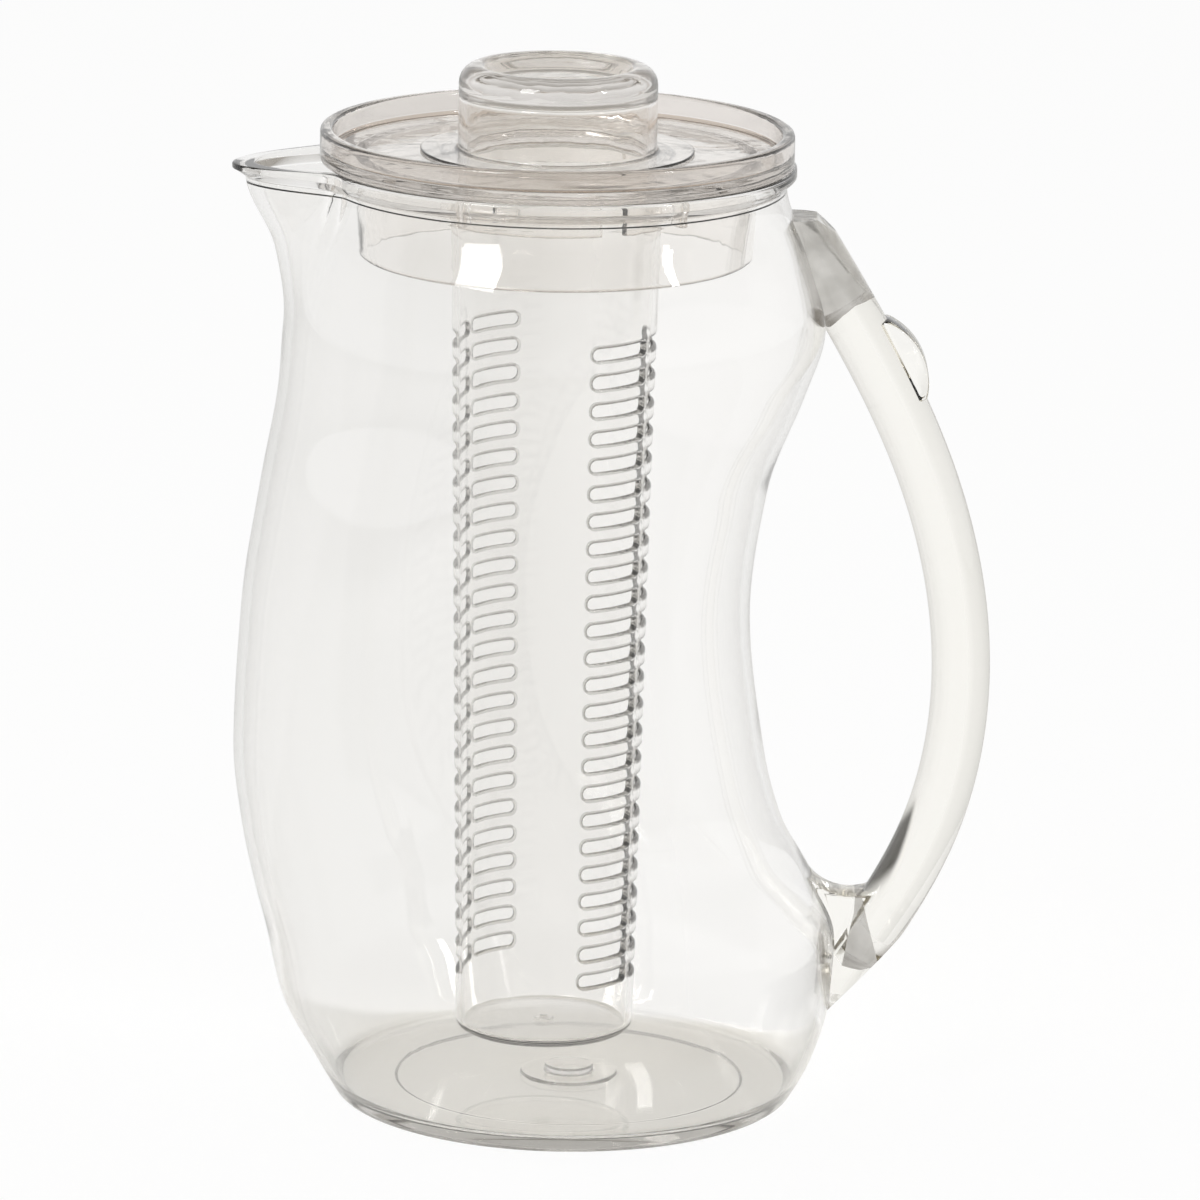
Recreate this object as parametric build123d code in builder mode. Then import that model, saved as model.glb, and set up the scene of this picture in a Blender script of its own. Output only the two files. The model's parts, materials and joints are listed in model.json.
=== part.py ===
from build123d import *
import math
import os

# Jug shell. All sizes are millimetres. The origin is the middle of the underside, +X points to
# the handle and the spout is on the -X side.
wall = 2.4
floor_thickness = 3.0
recess_radius = 45.4
recess_depth = 1.1
base_edge_radius = 1.5

# Rises between the stations of the shell, from the table up
heel_rise = 11.0
hip_rise = 16.0
shelf_rise = 17.0
ledge_rise = 13.2
scoop_rise = 15.3
belly_rise = 19.5
grip_rise = 38.0
chest_rise = 33.0
shoulder_rise = 26.0
waist_rise = 15.0
neck_rise = 20.0
throat_rise = 17.3
rim_rise = 5.7
section_step = 6.0

# Reach of each station towards the spout and towards the handle, and its half width
base_to_spout, base_to_handle, base_half_width = 61.0, 58.0, 62.0
heel_to_spout, heel_to_handle, heel_half_width = 67.5, 64.0, 67.0
hip_to_spout, hip_to_handle, hip_half_width = 76.0, 68.2, 73.0
shelf_to_spout, shelf_to_handle, shelf_half_width = 79.9, 69.0, 74.8
ledge_to_spout, ledge_to_handle, ledge_half_width = 83.4, 63.4, 74.8
scoop_to_spout, scoop_to_handle, scoop_half_width = 86.6, 54.8, 74.4
belly_to_spout, belly_to_handle, belly_half_width = 88.8, 49.5, 73.8
grip_to_spout, grip_to_handle, grip_half_width = 87.0, 45.1, 72.5
chest_to_spout, chest_to_handle, chest_half_width = 82.2, 49.2, 71.5
shoulder_to_spout, shoulder_to_handle, shoulder_half_width = 77.8, 58.8, 70.5

# Neck, mouth and spout, round about the mouth's own axis, with the spout's ridge as a beak
mouth_offset = 6.8
waist_radius = 70.0
neck_radius = 65.2
mouth_radius = 59.2
neck_ridge = 7.2
throat_ridge = 20.8
rim_ridge = 21.0
spout_spread = 25.0
spout_dip = 1.3
spout_dip_length = 32.0
lip_overhang = 2.5
lip_height = 2.6
lip_cove = 3.1
lip_edge_radius = 0.7
gate_radius = 12.6
gate_nib_radius = 6.4
gate_step = 0.5
gate_nib_rise = 1.6

# Handle: a bar bonded to the neck and to the hip
handle_thickness = 15.2
handle_width = 17.0
grip_reach = 100.3
grip_height = 114.0
upper_grip_in, upper_grip_up = 10.6, 53.4
lower_grip_in, lower_grip_down = 7.5, 43.0
handle_top_drop = 16.0
handle_end_drop = 13.2
handle_top_turn = 3.0
handle_foot_rise = 2.0
handle_root_depth = 14.0
top_cut_angle = 38.6
top_cut_clearance = 6.6
foot_cut_angle = 45.0
foot_cut_clearance = 4.0
foot_web_reach = 72.6
foot_web_rise = 27.3
foot_web_round = 13.5
foot_web_lip = 6.2
foot_web_drop = 18.0
foot_web_width = 13.0
thumb_rest_drop = 53.2
thumb_rest_length = 23.0
thumb_rest_rise = 4.1
thumb_rest_width = 11.0

# Lid
lid_inset = 0.7
lid_floor = 2.6
lid_rim_rise = 5.9
lid_rim_width = 3.4
lid_edge_radius = 1.0
skirt_gap = 5.4
skirt_wall = 2.0
skirt_draft = 0.7
skirt_drop = 24.6
rib_count = 6
rib_first_angle = 5.0
rib_drop = 8.0
rib_width = 1.8
rib_clearance = 0.6
collar_drop = 14.0
collar_wall = 2.0
collar_clearance = 0.5

# Knob
knob_radius = 25.6
knob_wall = 2.3
knob_rise = 22.5
knob_edge_radius = 4.6
knob_foot_radius = 35.3
knob_foot_thickness = 0.8
dish_radius = 20.0
dish_floor_radius = 15.5
dish_depth = 4.4
dish_edge_radius = 1.2

# Infuser tube, hung from the lid's collar by its lugs
tube_top_radius = 27.3
tube_bottom_radius = 23.2
tube_wall = 1.8
tube_floor = 2.4
tube_corner_radius = 2.6
tube_top_clearance = 0.3
tube_floor_gap = 12.5
tube_gate_radius = 2.6
tube_gate_rise = 0.6
slot_length = 17.0
slot_height = 3.1
slot_pitch = 7.25
slot_top_margin = 45.8
slot_bottom_margin = 16.9
slot_group_angle = -24.8
slot_column_spread = 45.0
slot_group_count = 2

# Bayonet between the tube's lugs and the collar
lug_count = 2
lug_angle = -115.0
lug_width = 6.0
lug_height = 2.6
lug_drop = 5.5
lug_reach_clearance = 0.4
bayonet_turn = 55.0
bayonet_clearance = 0.35

# Places worked out from the sizes above
heel_z = heel_rise
hip_z = heel_z + hip_rise
shelf_z = hip_z + shelf_rise
ledge_z = shelf_z + ledge_rise
scoop_z = ledge_z + scoop_rise
belly_z = scoop_z + belly_rise
grip_z = belly_z + grip_rise
chest_z = grip_z + chest_rise
shoulder_z = chest_z + shoulder_rise
waist_z = shoulder_z + waist_rise
neck_z = waist_z + neck_rise
throat_z = neck_z + throat_rise
rim_z = throat_z + rim_rise
floor_z = recess_depth + floor_thickness
mouth_x = -mouth_offset
mouth_axis = Axis((mouth_x, 0, 0), (0, 0, 1))
mouth_inner_radius = mouth_radius - wall
lip_radius = mouth_radius + lip_overhang
tip_x = mouth_x - lip_radius - rim_ridge
cut_margin = 1.0

# Stations of the shell: height, reach to the spout, reach to the handle, half width, rise of the ridge
stations = [
    (0, base_to_spout, base_to_handle, base_half_width, 0),
    (heel_z, heel_to_spout, heel_to_handle, heel_half_width, 0),
    (hip_z, hip_to_spout, hip_to_handle, hip_half_width, 0),
    (shelf_z, shelf_to_spout, shelf_to_handle, shelf_half_width, 0),
    (ledge_z, ledge_to_spout, ledge_to_handle, ledge_half_width, 0),
    (scoop_z, scoop_to_spout, scoop_to_handle, scoop_half_width, 0),
    (belly_z, belly_to_spout, belly_to_handle, belly_half_width, 0),
    (grip_z, grip_to_spout, grip_to_handle, grip_half_width, 0),
    (chest_z, chest_to_spout, chest_to_handle, chest_half_width, 0),
    (shoulder_z, shoulder_to_spout, shoulder_to_handle, shoulder_half_width, 0),
    (waist_z, waist_radius + mouth_offset, waist_radius - mouth_offset, waist_radius, 0),
    (neck_z, neck_radius + mouth_offset, neck_radius - mouth_offset, neck_radius, neck_ridge),
    (throat_z, mouth_radius + mouth_offset, mouth_radius - mouth_offset, mouth_radius, throat_ridge),
    (rim_z, mouth_radius + mouth_offset, mouth_radius - mouth_offset, mouth_radius, rim_ridge),
]
station_heights = [station[0] for station in stations]

# Angles of an outline's points, from the handle round to the spout, closer near the spout's ridge
half_angles = [0, 20, 40, 60, 80, 100, 120, 137, 148, 155, 159, 163, 167.5, 172, 176]
outline_angles = half_angles + [180] + [360 - angle for angle in reversed(half_angles[1:])]
outline_knots = [angle / 360 for angle in outline_angles] + [1]


def smooth_value(column, height):
    """Value of one column of the stations at a height, smooth and without overshoot."""
    values = [station[column] for station in stations]
    rises = [high - low for low, high in zip(station_heights, station_heights[1:])]
    steps = [(high - low) / rise for low, high, rise in zip(values, values[1:], rises)]
    slopes = [steps[0]]
    for before, after in zip(steps, steps[1:]):
        slopes.append(2 * before * after / (before + after) if before * after > 0 else 0)
    slopes.append(steps[-1])
    span = 0
    while span < len(rises) - 1 and height > station_heights[span + 1]:
        span += 1
    rise = rises[span]
    t = (height - station_heights[span]) / rise
    low = (1 + 2 * t) * (1 - t) ** 2 * values[span] + t * (1 - t) ** 2 * rise * slopes[span]
    high = t**2 * (3 - 2 * t) * values[span + 1] - t**2 * (1 - t) * rise * slopes[span + 1]
    return low + high


def outline(height, inset):
    """Closed line round the shell at a height, set in by a distance, with the spout's two flanks."""
    to_spout, to_handle, half_width, ridge = [smooth_value(column, height) for column in (1, 2, 3, 4)]
    centre = (to_handle - to_spout) / 2
    half_length = (to_handle + to_spout) / 2
    points = []
    for angle in outline_angles:
        from_ridge = min(abs(angle - 180) / spout_spread, 1)
        stretch = 1 + ridge / half_length * math.cos(math.radians(90 * from_ridge)) ** 2
        x = centre + (half_length - inset) * stretch * math.cos(math.radians(angle))
        y = (half_width - inset) * stretch * math.sin(math.radians(angle))
        points.append((x, y, 0))
    return Edge.make_spline(points, periodic=True, parameters=outline_knots)


def section_heights(start):
    """Heights of the loft's sections, from a start up to the rim, with one at every station."""
    heights = [start]
    for low, high in zip(station_heights, station_heights[1:]):
        count = math.ceil((high - low) / section_step)
        heights += [low + (high - low) * (part + 1) / count for part in range(count)]
    return [start] + [height for height in heights if height > start + cut_margin]


# Outer form of the jug, solid, which also trims the handle
with BuildPart() as jug_form:
    for height in section_heights(0):
        with BuildSketch(Plane.XY.offset(height)):
            make_face(outline(height, 0))
    loft()

# Room inside the jug
with BuildPart() as jug_room:
    for height in section_heights(floor_z):
        with BuildSketch(Plane.XY.offset(height)):
            make_face(outline(height, wall))
    loft()
    with BuildSketch(Plane.XY.offset(rim_z)):
        make_face(outline(rim_z, wall))
    extrude(amount=cut_margin)

with BuildPart() as pitcher_body:
    add(jug_form.part)
    fillet(pitcher_body.faces().sort_by(Axis.Z)[0].edges(), base_edge_radius)
    with BuildSketch(Plane.XY.offset(rim_z - lip_height - lip_cove)):
        make_face(outline(rim_z, cut_margin))
    with BuildSketch(Plane.XY.offset(rim_z - lip_height)):
        make_face(outline(rim_z, -lip_overhang))
    loft(ruled=True)
    with BuildSketch(Plane.XY.offset(rim_z - lip_height)):
        make_face(outline(rim_z, -lip_overhang))
    extrude(amount=lip_height)
    add(jug_room.part, mode=Mode.SUBTRACT)
    with BuildSketch():
        Circle(recess_radius)
    extrude(amount=recess_depth, mode=Mode.SUBTRACT)
    with BuildSketch(Plane.XY.offset(floor_z)):
        Circle(gate_radius)
    extrude(amount=gate_step)
    with BuildSketch(Plane.XY.offset(floor_z + gate_step)):
        Circle(gate_nib_radius)
    extrude(amount=gate_nib_rise)
    fillet(pitcher_body.faces().sort_by(Axis.Z)[-1].outer_wire().edges(), lip_edge_radius)
    with BuildSketch(Plane.XZ):
        with BuildLine():
            Polyline(
                (tip_x + spout_dip_length, rim_z),
                (tip_x, rim_z - spout_dip),
                (tip_x - spout_dip_length, rim_z - 2 * spout_dip),
                (tip_x - spout_dip_length, rim_z + spout_dip),
                close=True,
            )
        make_face()
    extrude(amount=mouth_radius, both=True, mode=Mode.SUBTRACT)
pitcher_body.part.label = "pitcher_body"

# Line of the handle in the plane of the spout
top_root_z = rim_z - handle_top_drop
foot_root_z = hip_z + handle_foot_rise
top_root = Vector(smooth_value(2, top_root_z), 0, top_root_z)
foot_root = Vector(smooth_value(2, foot_root_z), 0, foot_root_z)
upper_grip = Vector(grip_reach - upper_grip_in, 0, grip_height + upper_grip_up)
lower_grip = Vector(grip_reach - lower_grip_in, 0, grip_height - lower_grip_down)
top_way = (upper_grip - top_root).normalized().rotate(Axis.Y, -handle_top_turn)
foot_way = (foot_root - lower_grip).normalized()
with BuildLine() as handle_line:
    Spline(
        top_root - top_way * handle_root_depth,
        upper_grip,
        (grip_reach, 0, grip_height),
        lower_grip,
        foot_root + foot_way * handle_root_depth,
        tangents=(top_way, foot_way),
    )
handle_path = handle_line.edges()[0]


def share_at_height(height):
    """Share of the handle's line at which it comes down to a height."""
    above, below = 0.0, 1.0
    for _ in range(40):
        middle = (above + below) / 2
        if (handle_path @ middle).Z > height:
            above = middle
        else:
            below = middle
    return above


thumb_share = share_at_height(rim_z - thumb_rest_drop)
thumb_plane = Plane(
    origin=handle_path @ thumb_share,
    x_dir=handle_path % thumb_share,
    z_dir=(0, -1, 0),
)
far = handle_thickness * 4

# Web that fills the notch between the bar's foot and the jug
web_floor_z = hip_z + foot_web_rise
web_top_z = web_floor_z + foot_web_lip
web_low_z = web_floor_z - foot_web_drop
web_top = handle_path @ share_at_height(web_top_z)
web_low = handle_path @ share_at_height(web_low_z)

with BuildPart() as handle:
    with BuildSketch(Plane(origin=handle_path @ 0, x_dir=(0, 1, 0), z_dir=handle_path % 0)):
        Ellipse(handle_width / 2, handle_thickness / 2)
    sweep(path=handle_path)
    with BuildSketch(thumb_plane):
        with BuildLine():
            crest = ThreePointArc(
                (-thumb_rest_length / 2, handle_thickness / 2),
                (0, handle_thickness / 2 + thumb_rest_rise),
                (thumb_rest_length / 2, handle_thickness / 2),
            )
            Polyline(crest @ 1, (thumb_rest_length / 2, 0), (-thumb_rest_length / 2, 0), crest @ 0)
        make_face()
    extrude(amount=thumb_rest_width / 2, both=True)
    with BuildSketch(Plane.XZ):
        with BuildLine():
            Polyline(
                (foot_web_reach - foot_web_round, web_top_z),
                (web_top.X, web_top_z),
                (web_low.X, web_low_z),
                (foot_web_reach - foot_web_round, web_low_z),
                close=True,
            )
        make_face()
        with Locations((foot_web_reach, web_floor_z + foot_web_round)):
            Circle(foot_web_round, mode=Mode.SUBTRACT)
    extrude(amount=foot_web_width / 2, both=True)
    add(jug_form.part, mode=Mode.SUBTRACT)
    with BuildSketch(Plane.XZ):
        with Locations((top_root.X, rim_z - handle_end_drop)):
            Rectangle(far, far, align=(Align.CENTER, Align.MIN))
        with Locations(Location((top_root.X, top_root.Z + top_cut_clearance), -top_cut_angle)):
            Rectangle(far * 2, far, align=(Align.CENTER, Align.MIN))
        with Locations(Location((foot_root.X, foot_root.Z - foot_cut_clearance), foot_cut_angle)):
            Rectangle(far * 2, far, align=(Align.CENTER, Align.MAX))
    extrude(amount=handle_width, both=True, mode=Mode.SUBTRACT)
handle.part.label = "handle"

# Lid, turned about the mouth's axis
lid_radius = lip_radius - lid_inset
lid_floor_z = rim_z + lid_floor
lid_top_z = lid_floor_z + lid_rim_rise
skirt_radius = mouth_inner_radius - skirt_gap
skirt_bottom_z = rim_z - skirt_drop
hole_radius = knob_radius - knob_wall
collar_inner_radius = tube_top_radius + collar_clearance
collar_radius = collar_inner_radius + collar_wall
collar_bottom_z = rim_z - collar_drop
tube_top_z = rim_z - tube_top_clearance
lug_top_z = tube_top_z - lug_drop


def turning_plane(angle):
    """Upright plane through the mouth's axis, turned to an angle about it."""
    return Plane(
        origin=(mouth_x, 0, 0),
        x_dir=(math.cos(math.radians(angle)), math.sin(math.radians(angle)), 0),
        z_dir=(math.sin(math.radians(angle)), -math.cos(math.radians(angle)), 0),
    )


with BuildPart() as lid:
    with BuildSketch(turning_plane(0)):
        with BuildLine():
            Polyline(
                (hole_radius, rim_z),
                (skirt_radius - skirt_wall, rim_z),
                (skirt_radius - skirt_wall - skirt_draft, skirt_bottom_z),
                (skirt_radius - skirt_draft, skirt_bottom_z),
                (skirt_radius, rim_z),
                (lid_radius, rim_z),
                (lid_radius, lid_top_z),
                (lid_radius - lid_rim_width, lid_top_z),
                (lid_radius - lid_rim_width, lid_floor_z),
                (hole_radius, lid_floor_z),
                close=True,
            )
        make_face()
        with Locations((collar_inner_radius, collar_bottom_z)):
            Rectangle(collar_wall, rim_z - collar_bottom_z, align=(Align.MIN, Align.MIN))
    revolve(axis=mouth_axis)
    fillet(lid.faces().sort_by(Axis.Z)[-1].edges(), lid_edge_radius)
    for rib in range(rib_count):
        with BuildSketch(turning_plane(rib_first_angle + rib * 360 / rib_count)):
            with Locations((skirt_radius - skirt_wall / 2, rim_z)):
                Rectangle(
                    skirt_wall / 2 + skirt_gap - rib_clearance,
                    rib_drop,
                    align=(Align.MIN, Align.MAX),
                )
        extrude(amount=rib_width / 2, both=True)
    lug_half_angle = math.degrees((lug_width / 2 + bayonet_clearance) / collar_inner_radius)
    for lug in range(lug_count):
        locked = lug_angle + lug * 360 / lug_count
        with BuildSketch(turning_plane(locked - lug_half_angle)):
            with Locations((collar_inner_radius - cut_margin / 2, lug_top_z + bayonet_clearance)):
                Rectangle(
                    collar_wall + cut_margin,
                    lug_height + 2 * bayonet_clearance,
                    align=(Align.MIN, Align.MAX),
                )
        revolve(axis=mouth_axis, revolution_arc=bayonet_turn + 2 * lug_half_angle, mode=Mode.SUBTRACT)
        with BuildSketch(turning_plane(locked + bayonet_turn - lug_half_angle)):
            with Locations((collar_inner_radius - cut_margin / 2, lug_top_z + bayonet_clearance)):
                Rectangle(
                    collar_wall + cut_margin,
                    lug_top_z + bayonet_clearance - collar_bottom_z + cut_margin,
                    align=(Align.MIN, Align.MAX),
                )
        revolve(axis=mouth_axis, revolution_arc=2 * lug_half_angle, mode=Mode.SUBTRACT)
lid.part.label = "lid"

# Knob: a hollow cap with a dished top on a thin foot
knob_base_z = lid_floor_z
knob_top_z = knob_base_z + knob_rise
with BuildPart() as knob:
    with BuildSketch(turning_plane(0)):
        with BuildLine():
            Polyline(
                (hole_radius, knob_base_z),
                (knob_foot_radius, knob_base_z),
                (knob_foot_radius, knob_base_z + knob_foot_thickness),
                (knob_radius, knob_base_z + knob_foot_thickness),
                (knob_radius, knob_top_z),
                (dish_radius, knob_top_z),
                (dish_floor_radius, knob_top_z - dish_depth),
                (0, knob_top_z - dish_depth),
                (0, knob_top_z - dish_depth - knob_wall),
                (hole_radius, knob_top_z - dish_depth - knob_wall),
                close=True,
            )
        make_face()
    revolve(axis=mouth_axis)
    crown = knob.edges().filter_by(GeomType.CIRCLE).group_by(Axis.Z)[-1].sort_by(SortBy.RADIUS)
    fillet(crown[-1], knob_edge_radius)
    fillet(crown[0], dish_edge_radius)
    dish_floor = knob.edges().filter_by(GeomType.CIRCLE).filter_by(
        lambda edge: abs(edge.radius - dish_floor_radius) < knob_wall / 2
    )
    fillet(dish_floor, dish_edge_radius)
knob.part.label = "knob"

# Infuser tube, hanging by its lugs in the collar
tube_bottom_z = floor_z + tube_floor_gap
tube_length = tube_top_z - tube_bottom_z
slot_rows = int((tube_length - slot_top_margin - slot_bottom_margin) / slot_pitch + 1e-6) + 1
slot_middle_z = tube_top_z - slot_top_margin - (slot_rows - 1) * slot_pitch / 2
with BuildPart() as infuser_tube:
    with BuildSketch(turning_plane(0)):
        with BuildLine():
            Polyline(
                (0, tube_bottom_z),
                (tube_bottom_radius, tube_bottom_z),
                (tube_top_radius, tube_top_z),
                (tube_top_radius - tube_wall, tube_top_z),
                (tube_bottom_radius - tube_wall, tube_bottom_z + tube_floor),
                (0, tube_bottom_z + tube_floor),
                close=True,
            )
        make_face()
    revolve(axis=mouth_axis)
    rounds = infuser_tube.edges().filter_by(GeomType.CIRCLE).group_by(Axis.Z)
    fillet(rounds[0], tube_corner_radius)
    with BuildSketch(Plane.XY.offset(tube_bottom_z + tube_floor)):
        with Locations((mouth_x, 0)):
            Circle(tube_gate_radius)
    extrude(amount=tube_gate_rise)
    for group in range(slot_group_count):
        for side in (-0.5, 0.5):
            angle = slot_group_angle + group * 360 / slot_group_count + side * slot_column_spread
            facing = math.radians(angle)
            with BuildSketch(
                Plane(
                    origin=(mouth_x, 0, slot_middle_z),
                    x_dir=(-math.sin(facing), math.cos(facing), 0),
                    z_dir=(math.cos(facing), math.sin(facing), 0),
                )
            ):
                with GridLocations(slot_length, slot_pitch, 1, slot_rows):
                    SlotOverall(slot_length, slot_height)
            extrude(amount=tube_top_radius + cut_margin, mode=Mode.SUBTRACT)
    for lug in range(lug_count):
        with BuildSketch(turning_plane(lug_angle + lug * 360 / lug_count)):
            with Locations((tube_top_radius - tube_wall / 2, lug_top_z)):
                Rectangle(
                    collar_radius - lug_reach_clearance - tube_top_radius + tube_wall / 2,
                    lug_height,
                    align=(Align.MIN, Align.MAX),
                )
        extrude(amount=lug_width / 2, both=True)
infuser_tube.part.label = "infuser_tube"

os.makedirs("parts", exist_ok=True)
export_step(pitcher_body.part, "parts/pitcher_body.step")
export_step(handle.part, "parts/handle.step")
export_step(lid.part, "parts/lid.step")
export_step(knob.part, "parts/knob.step")
export_step(infuser_tube.part, "parts/infuser_tube.step")
print(f"brimful capacity {jug_room.part.volume / 1e6:.2f} litres, overall height {knob_top_z:.1f} mm")
print(f"{slot_rows} slot rows, tube {tube_length:.1f} mm long")
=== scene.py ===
# %% [markdown]
# # A clear fruit infuser pitcher
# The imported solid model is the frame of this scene. It holds five nodes on three bodies: the jug with
# its handle, the lid with its knob, and the slotted tube that hangs below the lid. Each piece is
# built again below with the small roundings and the gloss of clear moulded plastic, in metres, at
# the place that the frame gives.

# %% Load the frame
import bpy
import bmesh
import json
import math
import numpy
from mathutils import Matrix, Vector

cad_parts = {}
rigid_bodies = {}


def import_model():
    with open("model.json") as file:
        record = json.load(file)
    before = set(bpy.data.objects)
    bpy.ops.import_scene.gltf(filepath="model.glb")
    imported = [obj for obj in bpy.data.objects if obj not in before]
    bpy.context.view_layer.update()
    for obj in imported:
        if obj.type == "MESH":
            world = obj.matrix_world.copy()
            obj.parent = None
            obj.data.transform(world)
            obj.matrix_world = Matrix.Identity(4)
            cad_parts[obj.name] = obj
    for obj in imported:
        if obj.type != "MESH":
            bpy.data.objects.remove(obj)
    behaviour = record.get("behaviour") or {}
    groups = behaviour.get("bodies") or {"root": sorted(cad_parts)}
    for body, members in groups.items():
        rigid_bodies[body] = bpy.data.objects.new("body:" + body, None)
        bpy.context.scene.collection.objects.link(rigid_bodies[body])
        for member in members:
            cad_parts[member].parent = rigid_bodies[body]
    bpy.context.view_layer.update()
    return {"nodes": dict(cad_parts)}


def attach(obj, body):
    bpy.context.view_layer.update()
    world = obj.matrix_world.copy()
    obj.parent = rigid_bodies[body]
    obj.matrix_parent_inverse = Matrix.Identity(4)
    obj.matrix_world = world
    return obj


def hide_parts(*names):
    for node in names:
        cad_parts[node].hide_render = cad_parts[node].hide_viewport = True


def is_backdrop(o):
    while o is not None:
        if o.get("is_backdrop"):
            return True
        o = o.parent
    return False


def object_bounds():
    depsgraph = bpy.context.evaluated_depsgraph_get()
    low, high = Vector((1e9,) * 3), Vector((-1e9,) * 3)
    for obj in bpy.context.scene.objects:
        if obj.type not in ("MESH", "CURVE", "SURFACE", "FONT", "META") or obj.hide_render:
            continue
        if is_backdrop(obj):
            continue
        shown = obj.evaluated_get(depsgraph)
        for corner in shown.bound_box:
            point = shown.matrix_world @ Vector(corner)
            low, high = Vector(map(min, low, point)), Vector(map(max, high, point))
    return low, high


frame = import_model()
mm = 0.001
print("nodes in the frame:", sorted(frame["nodes"]))

# %% [markdown]
# ## Camera
# The pitcher was seen from a little above with a long lens, so its upright lines stay almost
# parallel. The spout points to the left and the handle to the right. A camera could be pointed with
# a constraint, but three plain axes also carry the slight tilt of the picture.

# %% Set up the camera
def add_object(name, data):
    """New object in the scene, at the origin."""
    item = bpy.data.objects.new(name, data)
    bpy.context.scene.collection.objects.link(item)
    return item


look_at = Vector((6.12, 0, 131.29)) * mm
camera_distance = 2424.8 * mm
camera_drop = math.radians(13.363)
camera_tilt = math.radians(0.989)
ahead = Vector((0, math.cos(camera_drop), -math.sin(camera_drop)))
across = Vector((1, 0, 0))
upward = across.cross(ahead)
camera_x = across * math.cos(camera_tilt) + upward * math.sin(camera_tilt)
camera_y = upward * math.cos(camera_tilt) - across * math.sin(camera_tilt)

camera_data = bpy.data.cameras.new("picture_camera")
camera_data.sensor_width = 36
camera_data.lens = 280
camera_data.clip_start = 0.05
camera_data.clip_end = 60
camera = add_object("picture_camera", camera_data)
camera.matrix_world = Matrix((camera_x, camera_y, -ahead)).transposed().to_4x4()
camera.location = look_at - ahead * camera_distance
bpy.context.scene.camera = camera
print("camera stands", round(camera_distance, 3), "m away with a lens of", camera_data.lens, "mm")

# %% [markdown]
# ## Node helpers
# The finishes, the shapes that follow a rule and the light are all node trees. These helpers add a
# node and set or link its inputs in one call, so a tree reads as a short list of steps.

# %% Add, calculate and mix
def is_socket(value):
    """True for the output of a node, false for a plain value."""
    return isinstance(value, bpy.types.NodeSocket)


def add_node(tree, kind, inputs=(), **settings):
    """Adds a node, sets its properties, and sets or links its inputs by name or number."""
    node = tree.nodes.new(kind)
    for name, value in settings.items():
        setattr(node, name, value)
    for name, value in dict(inputs).items():
        if is_socket(value):
            tree.links.new(value, node.inputs[name])
        else:
            node.inputs[name].default_value = value
    return node


def bare_nodes(owner):
    """Emptied node tree of a material or a world."""
    owner.use_nodes = True
    owner.node_tree.nodes.clear()
    return owner.node_tree


def calculate(tree, operation, first, second=None):
    """Result of one Math node, each side a socket or a plain number."""
    sides = {0: first} if second is None else {0: first, 1: second}
    return add_node(tree, "ShaderNodeMath", sides, operation=operation).outputs[0]


def mixed(tree, mask, first, second):
    """Mix of two colours by a mask, each a socket or a plain colour."""
    sides = [side if is_socket(side) else (*side, 1) for side in (first, second)]
    node = add_node(tree, "ShaderNodeMix", {"Factor": mask, 6: sides[0], 7: sides[1]}, data_type="RGBA")
    return node.outputs[2]


def mixed_shader(tree, share, first, second):
    """Mix of two shader nodes by a share."""
    return add_node(tree, "ShaderNodeMixShader", {"Fac": share, 1: first.outputs[0], 2: second.outputs[0]})


print("node helpers are ready")

# %% [markdown]
# ## Shared finish of the mouldings
# All five pieces are clear plastic from polished moulds. Such a surface is never perfectly even: the
# melt leaves faint flow waves, the gloss varies softly, and handling leaves fine hazy specks. One
# shader group makes these effects from Object coordinates, and every material places it with its own
# values. It puts out only a colour, a roughness and a height.

# %% Build the shared shader group
def make_moulding_group():
    """Shader group for the uneven tint, gloss and surface of clear moulded plastic."""
    group = bpy.data.node_groups.new("moulded_clear_surface", "ShaderNodeTree")
    sockets = [
        ("INPUT", "Vector", ["Vector"]),
        ("INPUT", "Color", ["Clear Tint", "Deep Tint"]),
        ("INPUT", "Float", ["Flow Size", "Gloss Low", "Gloss High"]),
        ("OUTPUT", "Color", ["Color"]),
        ("OUTPUT", "Float", ["Roughness", "Height"]),
    ]
    for way, kind, labels in sockets:
        for label in labels:
            group.interface.new_socket(label, in_out=way, socket_type="NodeSocket" + kind)
    given = group.nodes.new("NodeGroupInput").outputs
    flow = add_node(group, "ShaderNodeTexNoise", {
        "Vector": given["Vector"], "Scale": given["Flow Size"],
        "Detail": 2.0, "Roughness": 0.45, "Distortion": 0.6,
    }).outputs["Fac"]
    haze = add_node(group, "ShaderNodeTexNoise", {
        "Vector": given["Vector"], "Scale": 140.0, "Detail": 4.0, "Roughness": 0.6,
    }).outputs["Fac"]
    gloss = add_node(group, "ShaderNodeMapRange", {
        "Value": haze, "From Min": 0.35, "From Max": 0.75,
        "To Min": given["Gloss Low"], "To Max": given["Gloss High"],
    })
    add_node(group, "NodeGroupOutput", {
        "Color": mixed(group, flow, given["Clear Tint"], given["Deep Tint"]),
        "Roughness": gloss.outputs["Result"],
        "Height": calculate(group, "ADD", flow, calculate(group, "MULTIPLY", haze, 0.04)),
    })
    return group


moulding_group = make_moulding_group()
print("shared finish:", moulding_group.name, "with", len(moulding_group.nodes), "nodes")

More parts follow.
